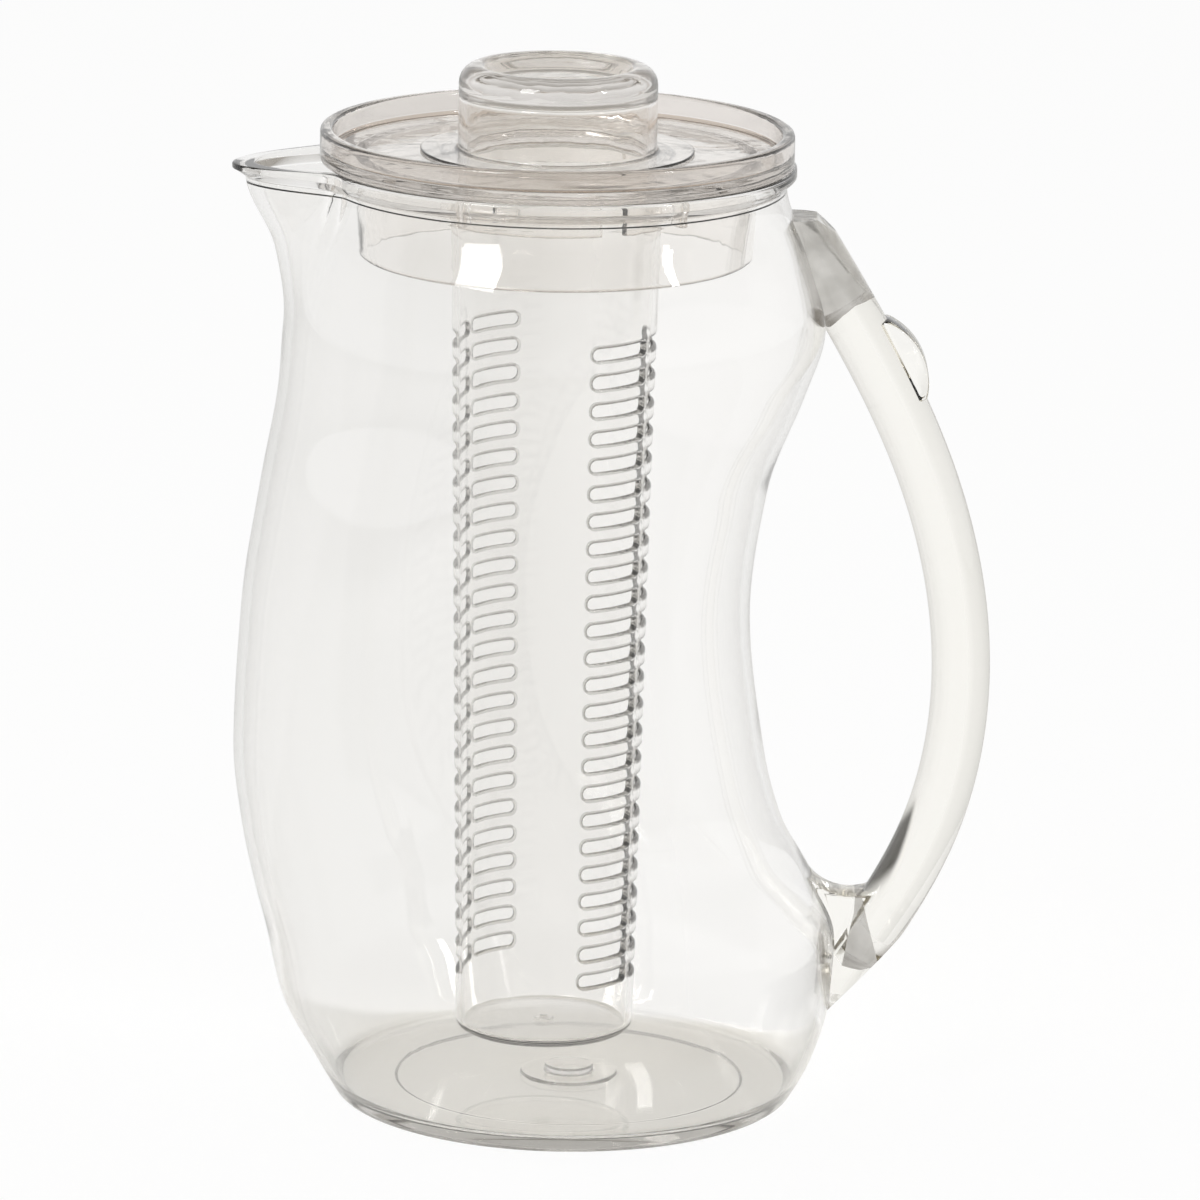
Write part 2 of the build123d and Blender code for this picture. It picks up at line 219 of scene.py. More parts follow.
# %% [markdown]
# ## Clear materials
# Each piece is the same plastic at a different thickness, so each gets its own tint: the thin jug is
# almost water clear, the solid handle is creamy, and the lid and its knob look tan where light runs
# along them. The plastic itself is one Principled shader with full transmission. Volume Absorption
# takes a little light on the way through, so a long way along a wall or through an edge looks darker
# than a short one, which is what draws the outline of a clear object. For lamp rays the surface is
# mixed with a Transparent shader, because thin clear plastic lets nearly all of the light through and
# casts only a faint shadow. The bonded ends of the handle have a duller and greyer material. Some
# pieces also get painted shade: a value on each face mixes in a darker tint, for the dark outlines at
# the rims of the tube's slots, a dark line and a tan tone on the lid, and the darker flat faces of the
# jug's base. On the jug and the handle a further tint paints shade on the slanted sides, where the eye
# looks along the wall, which darkens their outlines.

# %% Define the clear plastic
def clear_plastic(name, clear_tint, deep_tint, flow_size, wave_depth, depth_tint, density,
                  gloss=(0.012, 0.035), painted_shade_tint=None, slant_painted_shade=None, painted_slant_power=1.0):
    """Material of clear moulded plastic with faint flow waves, soft haze, a tint in its depth and optional
    painted shade.
    """
    material = bpy.data.materials.new(name)
    tree = bare_nodes(material)
    surface = add_node(tree, "ShaderNodeGroup", {
        "Vector": add_node(tree, "ShaderNodeTexCoord").outputs["Object"],
        "Clear Tint": (*clear_tint, 1), "Deep Tint": (*deep_tint, 1), "Flow Size": flow_size,
        "Gloss Low": gloss[0], "Gloss High": gloss[1],
    }, node_tree=moulding_group).outputs
    colour = surface["Color"]
    # Painted shade: a darker tint mixed in by the value that each face carries.
    if painted_shade_tint is not None:
        edges = add_node(tree, "ShaderNodeAttribute", attribute_name="edge_tone").outputs["Fac"]
        colour = mixed(tree, edges, colour, painted_shade_tint)
    # Painted shade: a darker tint on the sides that slant away from the eye, which darkens the outlines.
    if slant_painted_shade is not None:
        slant = add_node(tree, "ShaderNodeLayerWeight", {"Blend": 0.5}).outputs["Facing"]
        colour = mixed(tree, calculate(tree, "POWER", slant, painted_slant_power), colour, slant_painted_shade)
    waves = add_node(tree, "ShaderNodeBump", {
        "Strength": 0.5, "Distance": wave_depth * mm, "Height": surface["Height"],
    })
    plastic = add_node(tree, "ShaderNodeBsdfPrincipled", {
        "Base Color": colour, "Roughness": surface["Roughness"], "Normal": waves.outputs["Normal"],
        "IOR": 1.49, "Transmission Weight": 1.0,
    })
    passed = add_node(tree, "ShaderNodeBsdfTransparent", {"Color": (*deep_tint, 1)})
    lamp_rays = add_node(tree, "ShaderNodeLightPath").outputs["Is Shadow Ray"]
    skin = mixed_shader(tree, lamp_rays, plastic, passed)
    depth = add_node(tree, "ShaderNodeVolumeAbsorption", {"Color": (*depth_tint, 1), "Density": density})
    add_node(tree, "ShaderNodeOutputMaterial", {"Surface": skin.outputs[0], "Volume": depth.outputs[0]})
    return material


# On the jug the slant tint is painted shade along its outlines, and its face tint paints shade on the base.
shell_clear = clear_plastic(
    "jug_clear", (0.994, 0.991, 0.984), (0.982, 0.977, 0.968), flow_size=14, wave_depth=0.15,
    depth_tint=(0.5, 0.48, 0.44), density=10,
    painted_shade_tint=(0.93, 0.925, 0.915), slant_painted_shade=(0.4, 0.39, 0.37), painted_slant_power=6.0,
)
# On the handle the slant tint is painted shade, a broad darker gradient towards both edges.
handle_clear = clear_plastic(
    "handle_clear", (0.996, 0.992, 0.98), (0.985, 0.979, 0.96), flow_size=22, wave_depth=0.3,
    depth_tint=(0.6, 0.52, 0.25), density=7, slant_painted_shade=(0.34, 0.325, 0.3), painted_slant_power=1.7,
)
# The lid's face tint is painted shade, a dark tan mixed in on the tray and the rim.
lid_clear = clear_plastic(
    "lid_clear", (0.974, 0.962, 0.948), (0.955, 0.941, 0.924), flow_size=48, wave_depth=0.7,
    depth_tint=(0.5, 0.45, 0.4), density=10, painted_shade_tint=(0.42, 0.33, 0.26),
)
knob_clear = clear_plastic(
    "knob_clear", (0.965, 0.955, 0.94), (0.94, 0.928, 0.91), flow_size=48, wave_depth=0.7,
    depth_tint=(0.5, 0.46, 0.42), density=10,
)
# The tube's face tint is painted shade for the dark outlines of its slots.
tube_clear = clear_plastic(
    "tube_clear", (0.999, 0.997, 0.993), (0.992, 0.988, 0.982), flow_size=24, wave_depth=0.3,
    depth_tint=(0.5, 0.48, 0.45), density=26, painted_shade_tint=(0.5, 0.49, 0.47),
)
bond_grey = clear_plastic(
    "bond_grey", (1.0, 0.985, 0.95), (0.34, 0.325, 0.295), flow_size=120, wave_depth=0.6,
    depth_tint=(0.4, 0.38, 0.35), density=20, gloss=(0.08, 0.2),
)
clear_materials = (shell_clear, handle_clear, lid_clear, knob_clear, tube_clear, bond_grey)
print("materials:", [material.name for material in clear_materials])

# %% [markdown]
# ## The jug's outline at every height
# The jug has no single axis: its base stands about the origin, its belly leans to the spout, the
# handle side is scooped out for the fingers, and the mouth is round again about its own axis. A row
# of stations gives the reach to the spout, the reach to the handle and the half width at each height,
# and the rise of the spout's ridge. A smooth rule without overshoot joins the stations. A subdivision
# cage could give a similar form, but this rule keeps the wall exactly even.

# %% Stations and the smooth rule between them
mouth_x, mouth_radius = -6.8, 59.2
throat_z, rim_z = 241.3, 247.0
spout_ridge, spout_spread = 21.0, 25.0
ease_window = 3.0
to_spout_column, to_handle_column, half_width_column, ridge_column = 1, 2, 3, 4
stations = [
    (0.0, 61.0, 58.0, 62.0, 0.0),
    (11.0, 67.5, 64.0, 67.0, 0.0),
    (27.0, 76.0, 68.2, 73.0, 0.0),
    (44.0, 79.9, 69.0, 74.8, 0.0),
    (57.2, 83.4, 63.4, 74.8, 0.0),
    (72.5, 86.6, 54.8, 74.4, 0.0),
    (92.0, 88.8, 49.5, 73.8, 0.0),
    (130.0, 87.0, 45.1, 72.5, 0.0),
    (163.0, 82.2, 49.2, 71.5, 0.0),
    (189.0, 77.8, 58.8, 70.5, 0.0),
    (204.0, 76.8, 63.2, 70.0, 0.0),
    (224.0, 72.0, 58.4, 65.2, 7.2),
    (throat_z, mouth_radius - mouth_x, mouth_radius + mouth_x, mouth_radius, 20.8),
    (rim_z, mouth_radius - mouth_x, mouth_radius + mouth_x, mouth_radius, spout_ridge),
]


def station_value(column, height):
    """Value of one station column at a height, smooth and without overshoot."""
    heights = [station[0] for station in stations]
    values = [station[column] for station in stations]
    rises = [high - low for low, high in zip(heights, heights[1:])]
    steps = [(high - low) / rise for low, high, rise in zip(values, values[1:], rises)]
    slopes = [steps[0]]
    for before, after in zip(steps, steps[1:]):
        slopes.append(2 * before * after / (before + after) if before * after > 0 else 0)
    slopes.append(steps[-1])
    span = 0
    while span < len(rises) - 1 and height > heights[span + 1]:
        span += 1
    rise = rises[span]
    t = (height - heights[span]) / rise
    low = (1 + 2 * t) * (1 - t) ** 2 * values[span] + t * (1 - t) ** 2 * rise * slopes[span]
    high = t**2 * (3 - 2 * t) * values[span + 1] - t**2 * (1 - t) * rise * slopes[span + 1]
    return low + high


def eased_value(column, height):
    """Station value averaged over a short window, so the gloss runs on without a kink."""
    window = max(0.0, min(ease_window, height, throat_z - height))
    weights = (1, 4, 6, 4, 1)
    places = (-1, -0.5, 0, 0.5, 1)
    parts = [weight * station_value(column, height + window * at) for weight, at in zip(weights, places)]
    return sum(parts) / sum(weights)


print("reach to the handle at mid height:", round(eased_value(to_handle_column, 130.0), 1), "mm")

# %% [markdown]
# ## Rings round the jug
# Every ring of the jug has the same number of points, closer together at the spout where the beak is
# narrow. An outline ring follows the stations and can be set in or out by a distance. A round ring is
# a plain circle about the origin, for the base and the marks in its middle.

# %% Ring helpers
def spread(low, high, step):
    """Even values from low to high, about a step apart, both ends included."""
    count = max(1, round(abs(high - low) / step))
    return [low + (high - low) * part / count for part in range(count + 1)]


side_step, spout_step, spout_start = 2.0, 0.75, 154.5
side_angles = [side_step * step for step in range(int(spout_start / side_step))]
spout_angles = spread(spout_start, 360 - spout_start, spout_step)
ring_angles = side_angles + spout_angles + [360 - angle for angle in reversed(side_angles[1:])]
station_columns = (to_spout_column, to_handle_column, half_width_column, ridge_column)


def outline_ring(height, inset=0.0, z=None):
    """Points round the jug at a height, set in by a distance, in millimetres."""
    to_spout, to_handle, half_width, ridge = [eased_value(column, height) for column in station_columns]
    centre = (to_handle - to_spout) / 2
    half_length = (to_handle + to_spout) / 2
    ring = []
    for angle in ring_angles:
        turn = math.radians(angle)
        from_ridge = min(abs(angle - 180) / spout_spread, 1)
        stretch = 1 + ridge / half_length * math.cos(math.radians(90 * from_ridge)) ** 2
        x = centre + (half_length - inset) * stretch * math.cos(turn)
        y = (half_width - inset) * stretch * math.sin(turn)
        ring.append(Vector((x, y, height if z is None else z)))
    return ring


def round_ring(radius, z):
    """Points on a circle about the origin, in millimetres."""
    turns = [math.radians(angle) for angle in ring_angles]
    return [Vector((radius * math.cos(turn), radius * math.sin(turn), z)) for turn in turns]


def bent_rings(first, corner, last, count=5):
    """Rings on a soft bend from one ring to another, past the ring of the sharp corner."""
    rings = []
    for step in range(1, count + 1):
        t = step / count
        parts = zip(first, corner, last)
        rings.append([a * (1 - t) ** 2 + b * 2 * t * (1 - t) + c * t**2 for a, b, c in parts])
    return rings


print("points in a ring:", len(ring_angles))

# %% [markdown]
# ## Rounded corners for every profile
# Moulded plastic has no sharp corners, and on a clear piece it is the rounded corner that catches the
# light and draws the line we see. This helper takes the corners of a profile with a radius each and
# gives the points of the rounded line. Beside every rounding it puts one more point, so that smooth
# shading stays within the rounding.

# %% Profile helper
def rounded_line(corners, steps=4, guard=0.35):
    """Points along a line of (x, z, radius) corners, rounded, in millimetres."""
    line = []
    places = [Vector((corner[0], corner[1])) for corner in corners]
    for number, corner in enumerate(corners):
        here = places[number]
        if corner[2] <= 0 or number in (0, len(corners) - 1):
            line.append(here)
            continue
        back = places[number - 1] - here
        on = places[number + 1] - here
        half = back.angle(on) / 2
        reach = corner[2] / math.tan(half)
        back_way, on_way = back.normalized(), on.normalized()
        middle = here + (back_way + on_way).normalized() * (corner[2] / math.sin(half))
        start, end = here + back_way * reach - middle, here + on_way * reach - middle
        sweep = math.atan2(start.x * end.y - start.y * end.x, start.dot(end))
        room = 2.2 * (reach + guard)
        if back.length > room:
            line.append(here + back_way * (reach + guard))
        for step in range(steps + 1):
            line.append(middle + Matrix.Rotation(sweep * step / steps, 2) @ start)
        if on.length > room:
            line.append(here + on_way * (reach + guard))
    return line


print("a rounded corner has", len(rounded_line([(0, 0, 0), (9, 0, 1), (9, 9, 0)])) - 2, "points")

# %% [markdown]
# ## Jug body
# The jug is one closed skin. It runs from the middle of the recessed underside out to the standing
# ring, round the foot, up the outside, over the lip of the rim, down the inside with an even wall, and
# across the floor to the round gate mark in the middle. A small step inside the mouth draws the line
# seen below the lid. Solidify could give the wall, but building both sides keeps the lip, the dipped
# spout and the floor under control.

# %% Lay out the jug's rings
wall = 2.4
recess_radius, recess_z, standing_radius, foot_round = 45.4, 1.1, 52.0, 1.6
floor_z, floor_radius, floor_round, floor_guard = 4.1, 50.0, 2.3, 0.7
gate_radius, gate_z, nib_radius, nib_z = 12.6, 4.6, 6.4, 6.2
inner_low, neck_z, level_step = 7.0, 239.6, 2.2
band_low, band_edge, band_reach = 242.1, 244.4, 2.5
step_low, step_high, step_reach = 240.3, 240.8, 0.5 - wall
lid_gap = 0.06
lip_low, lip_top = 244.0, rim_z - lid_gap
spout_dip, dip_length = 1.3, 32.0
tip_x = mouth_x - mouth_radius - band_reach - spout_ridge


def dipped(ring):
    """Lets the top of the lip down towards the spout's tip."""
    lowered = []
    for point in ring:
        dip = spout_dip * max(0.0, tip_x + dip_length - point.x) / dip_length
        share = max(0.0, min(1.0, (point.z - lip_low) / (lip_top - lip_low)))
        lowered.append(Vector((point.x, point.y, point.z - dip * share)))
    return lowered


underside = [
    (0.0, recess_z, 0), (recess_radius, recess_z, 0.4), (recess_radius, 0.0, 0.4), (standing_radius, 0.0, 0),
]
jug_rings = [round_ring(point.x, point.y) for point in rounded_line(underside)[1:]]
jug_rings.append(outline_ring(0.0, foot_round))
jug_rings += bent_rings(outline_ring(0.0, foot_round), outline_ring(0.0), outline_ring(foot_round))
jug_rings += [outline_ring(height) for height in spread(level_step, neck_z, level_step)]
lip_corners = [
    (0.0, neck_z, 0), (0.0, band_low, 0.9), (band_reach, band_edge, 0.4), (band_reach, lip_top, 0.8),
    (step_reach, lip_top, 0.5), (step_reach, step_high, 0.1), (-wall, step_low, 0.1), (-wall, neck_z, 0),
]
for point in rounded_line(lip_corners)[1:-1]:
    jug_rings.append(dipped(outline_ring(min(point.y, rim_z), -point.x, point.y)))
jug_rings += [outline_ring(height, wall) for height in spread(neck_z, inner_low, level_step)]
wall_end, floor_edge = outline_ring(floor_z + floor_round, wall), outline_ring(floor_z, wall + floor_round)
jug_rings += bent_rings(wall_end, outline_ring(floor_z, wall), floor_edge)
jug_rings.append(outline_ring(floor_z, wall + floor_round + floor_guard))
floor_corners = [
    (floor_radius, floor_z, 0), (gate_radius, floor_z, 0.2), (gate_radius, gate_z, 0.2),
    (nib_radius, gate_z, 0.3), (nib_radius, nib_z, 0.4), (0.0, nib_z, 0),
]
jug_rings += [round_ring(point.x, point.y) for point in rounded_line(floor_corners, guard=0.5)[:-1]]
print("rings of the jug:", len(jug_rings))

# %% Skin the rings
def skin_rings(name, rings, low_pole, high_pole):
    """Closed mesh over rings of equal length, in millimetres, with a point at each pole."""
    build = bmesh.new()
    rows = [[build.verts.new(point * mm) for point in ring] for ring in rings]
    count = len(rings[0])
    for lower, upper in zip(rows, rows[1:]):
        for number in range(count):
            after = (number + 1) % count
            build.faces.new((lower[number], lower[after], upper[after], upper[number]))
    for pole, row in ((low_pole, rows[0]), (high_pole, rows[-1])):
        tip = build.verts.new(Vector(pole) * mm)
        for number in range(count):
            build.faces.new((row[number], row[(number + 1) % count], tip))
    bmesh.ops.recalc_face_normals(build, faces=build.faces)
    mesh = bpy.data.meshes.new(name)
    build.to_mesh(mesh)
    build.free()
    mesh.shade_smooth()
    return add_object(name, mesh)


def paint_shade_on_faces(piece, tone_of_face):
    """Writes the share of painted shade, from 0 to 1, on every face."""
    tones = piece.data.attributes.new("edge_tone", "FLOAT", "FACE")
    tones.data.foreach_set("value", [float(tone_of_face(face)) for face in piece.data.polygons])


jug = skin_rings("jug_body", jug_rings, (0, 0, recess_z), (0, 0, nib_z))
jug.data.materials.append(shell_clear)
# Painted shade: flat faces low in the jug, on the underside and the floor inside, get a slightly darker
# tint.
paint_shade_on_faces(jug, lambda face: face.center.z < inner_low * mm and abs(face.normal.z) > 0.9)
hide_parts("pitcher_body")
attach(jug, "pitcher")
print("jug body:", len(jug.data.polygons), "faces")

# %% [markdown]
# ## Handle line
# The handle is a solid bar, a little wider than it is deep, that bows out from the neck and comes
# back to the hip. Its middle line is a smooth curve through five points with a set direction at each
# end. A hand-drawn Bezier would do, but solving the curve keeps its bend even from end to end.

# %% Solve the handle's line
handle_width, handle_depth = 17.0, 15.2
root_sink, top_root_z, foot_root_z, top_turn = 14.0, 231.0, 29.0, -3.0
line_parts = 22
upper_grip = Vector((89.7, 0, 167.4))
middle_grip = Vector((100.3, 0, 114.0))
lower_grip = Vector((92.8, 0, 71.0))
top_root = Vector((station_value(to_handle_column, top_root_z), 0, top_root_z))
foot_root = Vector((station_value(to_handle_column, foot_root_z), 0, foot_root_z))
top_way = Matrix.Rotation(math.radians(top_turn), 3, "Y") @ (upper_grip - top_root).normalized()
foot_way = (foot_root - lower_grip).normalized()
handle_knots = [
    top_root - top_way * root_sink, upper_grip, middle_grip, lower_grip, foot_root + foot_way * root_sink,
]


def smooth_path(knots, first_way, last_way, parts):
    """Points along a smooth curve through the knots."""
    gaps = [(after - before).length for before, after in zip(knots, knots[1:])]
    size = len(knots)
    left, right = numpy.eye(size), numpy.zeros((size, 3))
    right[0], right[-1] = first_way, last_way
    for number in range(1, size - 1):
        before, after = gaps[number - 1], gaps[number]
        left[number, number - 1:number + 2] = (1 / before, 2 / before + 2 / after, 1 / after)
        way_in = (knots[number] - knots[number - 1]) / before**2
        way_out = (knots[number + 1] - knots[number]) / after**2
        right[number] = 3 * (way_in + way_out)
    slopes = [Vector(row) for row in numpy.linalg.solve(left, right)]
    line = []
    for number, gap in enumerate(gaps):
        for part in range(parts if number < size - 2 else parts + 1):
            t = part / parts
            near = knots[number] * (1 + 2 * t) * (1 - t) ** 2 + slopes[number] * (gap * t * (1 - t) ** 2)
            far = knots[number + 1] * t**2 * (3 - 2 * t) - slopes[number + 1] * (gap * t**2 * (1 - t))
            line.append(near + far)
    return line


handle_line = smooth_path(handle_knots, top_way, foot_way, line_parts)
farthest = max(point.x for point in handle_line)
print("handle line:", len(handle_line), "points, reaching out to", round(farthest, 1), "mm")

# %% [markdown]
# ## Geometry Nodes helpers
# The bar of the handle, the turned lid and knob, the ribs and the slotted tube all follow a rule, so
# node trees make them. Each tree has named inputs for its sizes. A helper sets them by the sockets'
# identifiers, evaluates the object, keeps the result as a plain mesh and takes the modifier away.

# %% Make a node tree
def new_shape_tree(name, sizes):
    """Geometry tree with named inputs, given as label and kind, and the sockets of these inputs."""
    tree = bpy.data.node_groups.new(name, "GeometryNodeTree")
    for label, kind in [("Geometry", "Geometry")] + sizes + [("Material", "Material")]:
        tree.interface.new_socket(label, in_out="INPUT", socket_type="NodeSocket" + kind)
    tree.interface.new_socket("Geometry", in_out="OUTPUT", socket_type="NodeSocketGeometry")
    return tree, tree.nodes.new("NodeGroupInput").outputs


def end_tree(tree, given, shape):
    """Closes a tree: instances made real, smooth shading, and the material."""
    real = add_node(tree, "GeometryNodeRealizeInstances", {"Geometry": shape}).outputs[0]
    smooth = add_node(tree, "GeometryNodeSetShadeSmooth", {0: real}).outputs[0]
    finish = add_node(tree, "GeometryNodeSetMaterial", {"Geometry": smooth, "Material": given["Material"]})
    add_node(tree, "NodeGroupOutput", {"Geometry": finish.outputs[0]})


print("helpers that make a tree are ready")

# %% Bake a tree into a plain mesh
def kept_mesh(piece):
    """Plain mesh of a piece as its modifiers leave it, which then takes their place."""
    bpy.context.view_layer.update()
    graph = bpy.context.evaluated_depsgraph_get()
    mesh = bpy.data.meshes.new_from_object(piece.evaluated_get(graph), depsgraph=graph)
    piece.modifiers.clear()
    piece.data = mesh
    mesh.name = piece.name


def bake_tree(piece, tree, values):
    """Runs a geometry tree on a piece with named values and keeps the result."""
    modifier = piece.modifiers.new("shape", "NODES")
    modifier.node_group = tree
    for item in tree.interface.items_tree:
        if item.in_out == "INPUT" and item.name in values:
            modifier[item.identifier] = values[item.name]
    kept_mesh(piece)


def mesh_piece(name, points, edges=(), faces=()):
    """New object from points in millimetres, with its edges or faces."""
    mesh = bpy.data.meshes.new(name)
    mesh.from_pydata([Vector(point) * mm for point in points], edges, faces)
    return add_object(name, mesh)


def line_piece(name, points):
    """Open line as a mesh of edges, for the trees that follow a line."""
    return mesh_piece(name, points, [(number, number + 1) for number in range(len(points) - 1)])


def point_outwards(mesh):
    """Merges doubles and turns all faces of a closed mesh outwards."""
    build = bmesh.new()
    build.from_mesh(mesh)
    bmesh.ops.remove_doubles(build, verts=build.verts, dist=1e-6)
    bmesh.ops.recalc_face_normals(build, faces=build.faces)
    build.to_mesh(mesh)
    build.free()


def size_in_mm(piece):
    """Length, width and height of a piece, rounded for printing."""
    return [round(size / mm, 1) for size in piece.dimensions]


print("helpers that bake a tree are ready")

# %% [markdown]
# ## Handle bar
# The bar has the same oval section from end to end. A Curve to Mesh node sweeps an ellipse along the
# handle's line and closes its ends. A curve object with a bevel would look the same, but the tree
# keeps the width, the depth and the number of points as named inputs.

# %% Sweep the bar
bar_sizes = [("Width", "Float"), ("Depth", "Float"), ("Points Round", "Int")]
bar_tree, given = new_shape_tree("bar_along_line", bar_sizes)
path = add_node(bar_tree, "GeometryNodeMeshToCurve", {0: given["Geometry"]}).outputs[0]
circle = {"Radius": 0.5, "Resolution": given["Points Round"]}
ring = add_node(bar_tree, "GeometryNodeCurvePrimitiveCircle", circle).outputs[0]
size = add_node(bar_tree, "ShaderNodeCombineXYZ", {0: given["Width"], 1: given["Depth"]}).outputs[0]
section = add_node(bar_tree, "GeometryNodeTransform", {"Geometry": ring, "Scale": size}).outputs[0]
sweep = {"Curve": path, "Profile Curve": section, "Fill Caps": True}
end_tree(bar_tree, given, add_node(bar_tree, "GeometryNodeCurveToMesh", sweep).outputs[0])

handle = line_piece("side_handle", handle_line)
bake_tree(handle, bar_tree, {
    "Width": handle_width * mm, "Depth": handle_depth * mm, "Points Round": 48, "Material": handle_clear,
})
point_outwards(handle.data)
print("bar of the handle:", size_in_mm(handle), "mm")

# %% [markdown]
# ## Thumb rest, foot web and end faces
# A low bump on the outside gives the thumb a hold, and a web fills the notch between the jug and the
# foot of the bar. Both are straight blocks with an arc in their side view, rounded along their edges.
# The bar runs on into the jug at both ends, so the cutters are the jug's own outer form, a hair wider
# than the jug itself, and three large slanted blocks that leave the flat end faces beside the wall.

# %% Helpers for straight blocks
def prism(name, side, half_width):
    """Straight block with the given side view in the plane of the handle."""
    count = len(side)
    points = [point + Vector((0, way * half_width, 0)) for way in (-1, 1) for point in side]
    faces = [tuple(range(count)), tuple(range(2 * count - 1, count - 1, -1))]
    for number in range(count):
        after = (number + 1) % count
        faces.append((number, number + count, after + count, after))
    piece = mesh_piece(name, points, faces=faces)
    point_outwards(piece.data)
    return piece


def slanted_box(name, corner, angle, above):
    """Large block on one side of a slanted line in the plane of the handle."""
    reach = 60.0
    along = Vector((math.cos(math.radians(angle)), 0, math.sin(math.radians(angle)))) * reach
    off = Vector((-along.z, 0, along.x)) * (1 if above else -1)
    near, far = corner - along, corner + along
    return prism(name, [near, far, far + off, near + off], reach / 2)


def flat(points):
    """Points in the plane of the handle from pairs of reach and height."""
    return [Vector((x, 0, z)) for x, z in points]


def arc_turns(half, steps):
    """Turns from one end of an arc to the other, from half of its angle."""
    return [half * (step / steps - 1) for step in range(2 * steps + 1)]


def round_edges(piece, width, segments, angle, edge_slot=-1):
    """Rounds the edges of a piece that turn by more than an angle in degrees."""
    step = piece.modifiers.new("rounding", "BEVEL")
    step.width, step.segments, step.material = width * mm, segments, edge_slot
    step.limit_method, step.angle_limit = "ANGLE", math.radians(angle)
    kept_mesh(piece)


print("helpers for straight blocks are ready")

# %% Thumb rest
thumb_z, thumb_length, thumb_rise, thumb_width = 193.8, 23.0, 4.1, 11.0
below_number = next(number for number, point in enumerate(handle_line) if point.z < thumb_z)
above, below = handle_line[below_number - 1], handle_line[below_number]
thumb_spot = above.lerp(below, (above.z - thumb_z) / (above.z - below.z))
thumb_along = (below - above).normalized()
thumb_out = Vector((-thumb_along.z, 0, thumb_along.x))
thumb_round = (thumb_length**2 / 4 + thumb_rise**2) / (2 * thumb_rise)
thumb_reach = math.asin(thumb_length / 2 / thumb_round)
thumb_side = []
for turn in arc_turns(thumb_reach, 12):
    out = handle_depth / 2 + thumb_rise - thumb_round * (1 - math.cos(turn))
    thumb_side.append(thumb_spot + thumb_along * (thumb_round * math.sin(turn)) + thumb_out * out)
thumb_side += [thumb_spot + thumb_along * along for along in (thumb_length / 2, -thumb_length / 2)]
thumb_rest = prism("thumb_rest", thumb_side, thumb_width / 2)
round_edges(thumb_rest, width=0.9, segments=3, angle=40)
print("thumb rest at", [round(value, 1) for value in thumb_spot], "mm")

# %% Foot web
web_reach, web_round, web_width = 72.6, 13.5, 13.0
web_low, web_floor, web_top, web_foot_x, web_end_x = 36.3, 54.3, 60.5, 75.0, 86.0
web_side = [(web_reach - web_round, web_low), (web_reach - web_round, web_top)]
web_half = math.acos((web_floor + web_round - web_top) / web_round)
for turn in arc_turns(web_half, 10):
    web_side.append((web_reach + web_round * math.sin(turn), web_floor + web_round * (1 - math.cos(turn))))
web_side += [(web_end_x, web_top), (web_foot_x, web_low)]
foot_web = prism("foot_web", flat(web_side), web_width / 2)
round_edges(foot_web, width=0.8, segments=3, angle=60)
print("foot web:", len(foot_web.data.polygons), "faces")

# %% Cutters for the ends
form_low, form_high, form_step, bond_gap = 6.0, 240.0, 2.0, 0.06
form_rings = [outline_ring(height, -bond_gap) for height in spread(form_low, form_high, form_step)]
jug_form = skin_rings("jug_form", form_rings, (0, 0, form_low), (mouth_x, 0, form_high))
top_cut_z, neck_cut_rise, neck_cut_slant, foot_cut_drop, foot_cut_slant = 233.8, 6.6, -38.6, 4.0, 45.0
end_cuts = [
    slanted_box("cut_top", Vector((top_root.x, 0, top_cut_z)), 0, True),
    slanted_box("cut_neck", top_root + Vector((0, 0, neck_cut_rise)), neck_cut_slant, True),
    slanted_box("cut_foot", foot_root - Vector((0, 0, foot_cut_drop)), foot_cut_slant, False),
]
print("cutters:", jug_form.name, [cutter.name for cutter in end_cuts])

# %% [markdown]
# ## Cut, join and bond the handle
# The real handle is moulded by itself and bonded to the jug, and the joints are dull: a wedge at the
# foot and the whole top end look grey. Booleans join the blocks to the bar and cut its ends. The grey
# parts are then split off by their side view and put back as islands of the same mesh, a hair smaller
# and with their own material, because each closed island keeps its own depth of colour.

# %% Helpers that cut, split and join
def combine(piece, tool, way):
    """Joins a tool to a piece, cuts it away or keeps what both share."""
    step = piece.modifiers.new("combine", "BOOLEAN")
    step.object, step.operation, step.solver = tool, way, "EXACT"
    kept_mesh(piece)
    bpy.data.objects.remove(tool)


def one_material(piece, material):
    """Gives all faces of a piece one material."""
    piece.data.materials.clear()
    piece.data.materials.append(material)
    for face in piece.data.polygons:
        face.material_index = 0


def split_off(piece, name, side):
    """Cuts the part inside a side view out of a piece and returns it, a hair smaller, as a new piece."""
    block_half, core_half, core_share = 30.0, 29.0, 0.997
    block = prism(name + "_block", side, block_half)
    middle = sum(side, Vector()) / len(side)
    smaller = prism(name + "_core", [middle.lerp(point, core_share) for point in side], core_half)
    part = add_object(name, piece.data.copy())
    combine(part, smaller, "INTERSECT")
    combine(piece, block, "DIFFERENCE")
    return part


def join_into(piece, *others):
    """Joins other pieces into one as loose islands of the same mesh, each with its material."""
    build = bmesh.new()
    build.from_mesh(piece.data)
    for other in others:
        material = other.data.materials[0]
        if material.name not in [known.name for known in piece.data.materials]:
            piece.data.materials.append(material)
        place = [known.name for known in piece.data.materials].index(material.name)
        for face in other.data.polygons:
            face.material_index = place
        build.from_mesh(other.data)
    build.to_mesh(piece.data)
    build.free()
    for other in others:
        bpy.data.objects.remove(other)


def shade(piece, sharp_angle):
    """Smooth shading, with sharp edges where faces turn by more than an angle in degrees."""
    piece.data.shade_smooth()
    piece.data.set_sharp_from_angle(angle=math.radians(sharp_angle))


print("helpers that cut, split and join are ready")

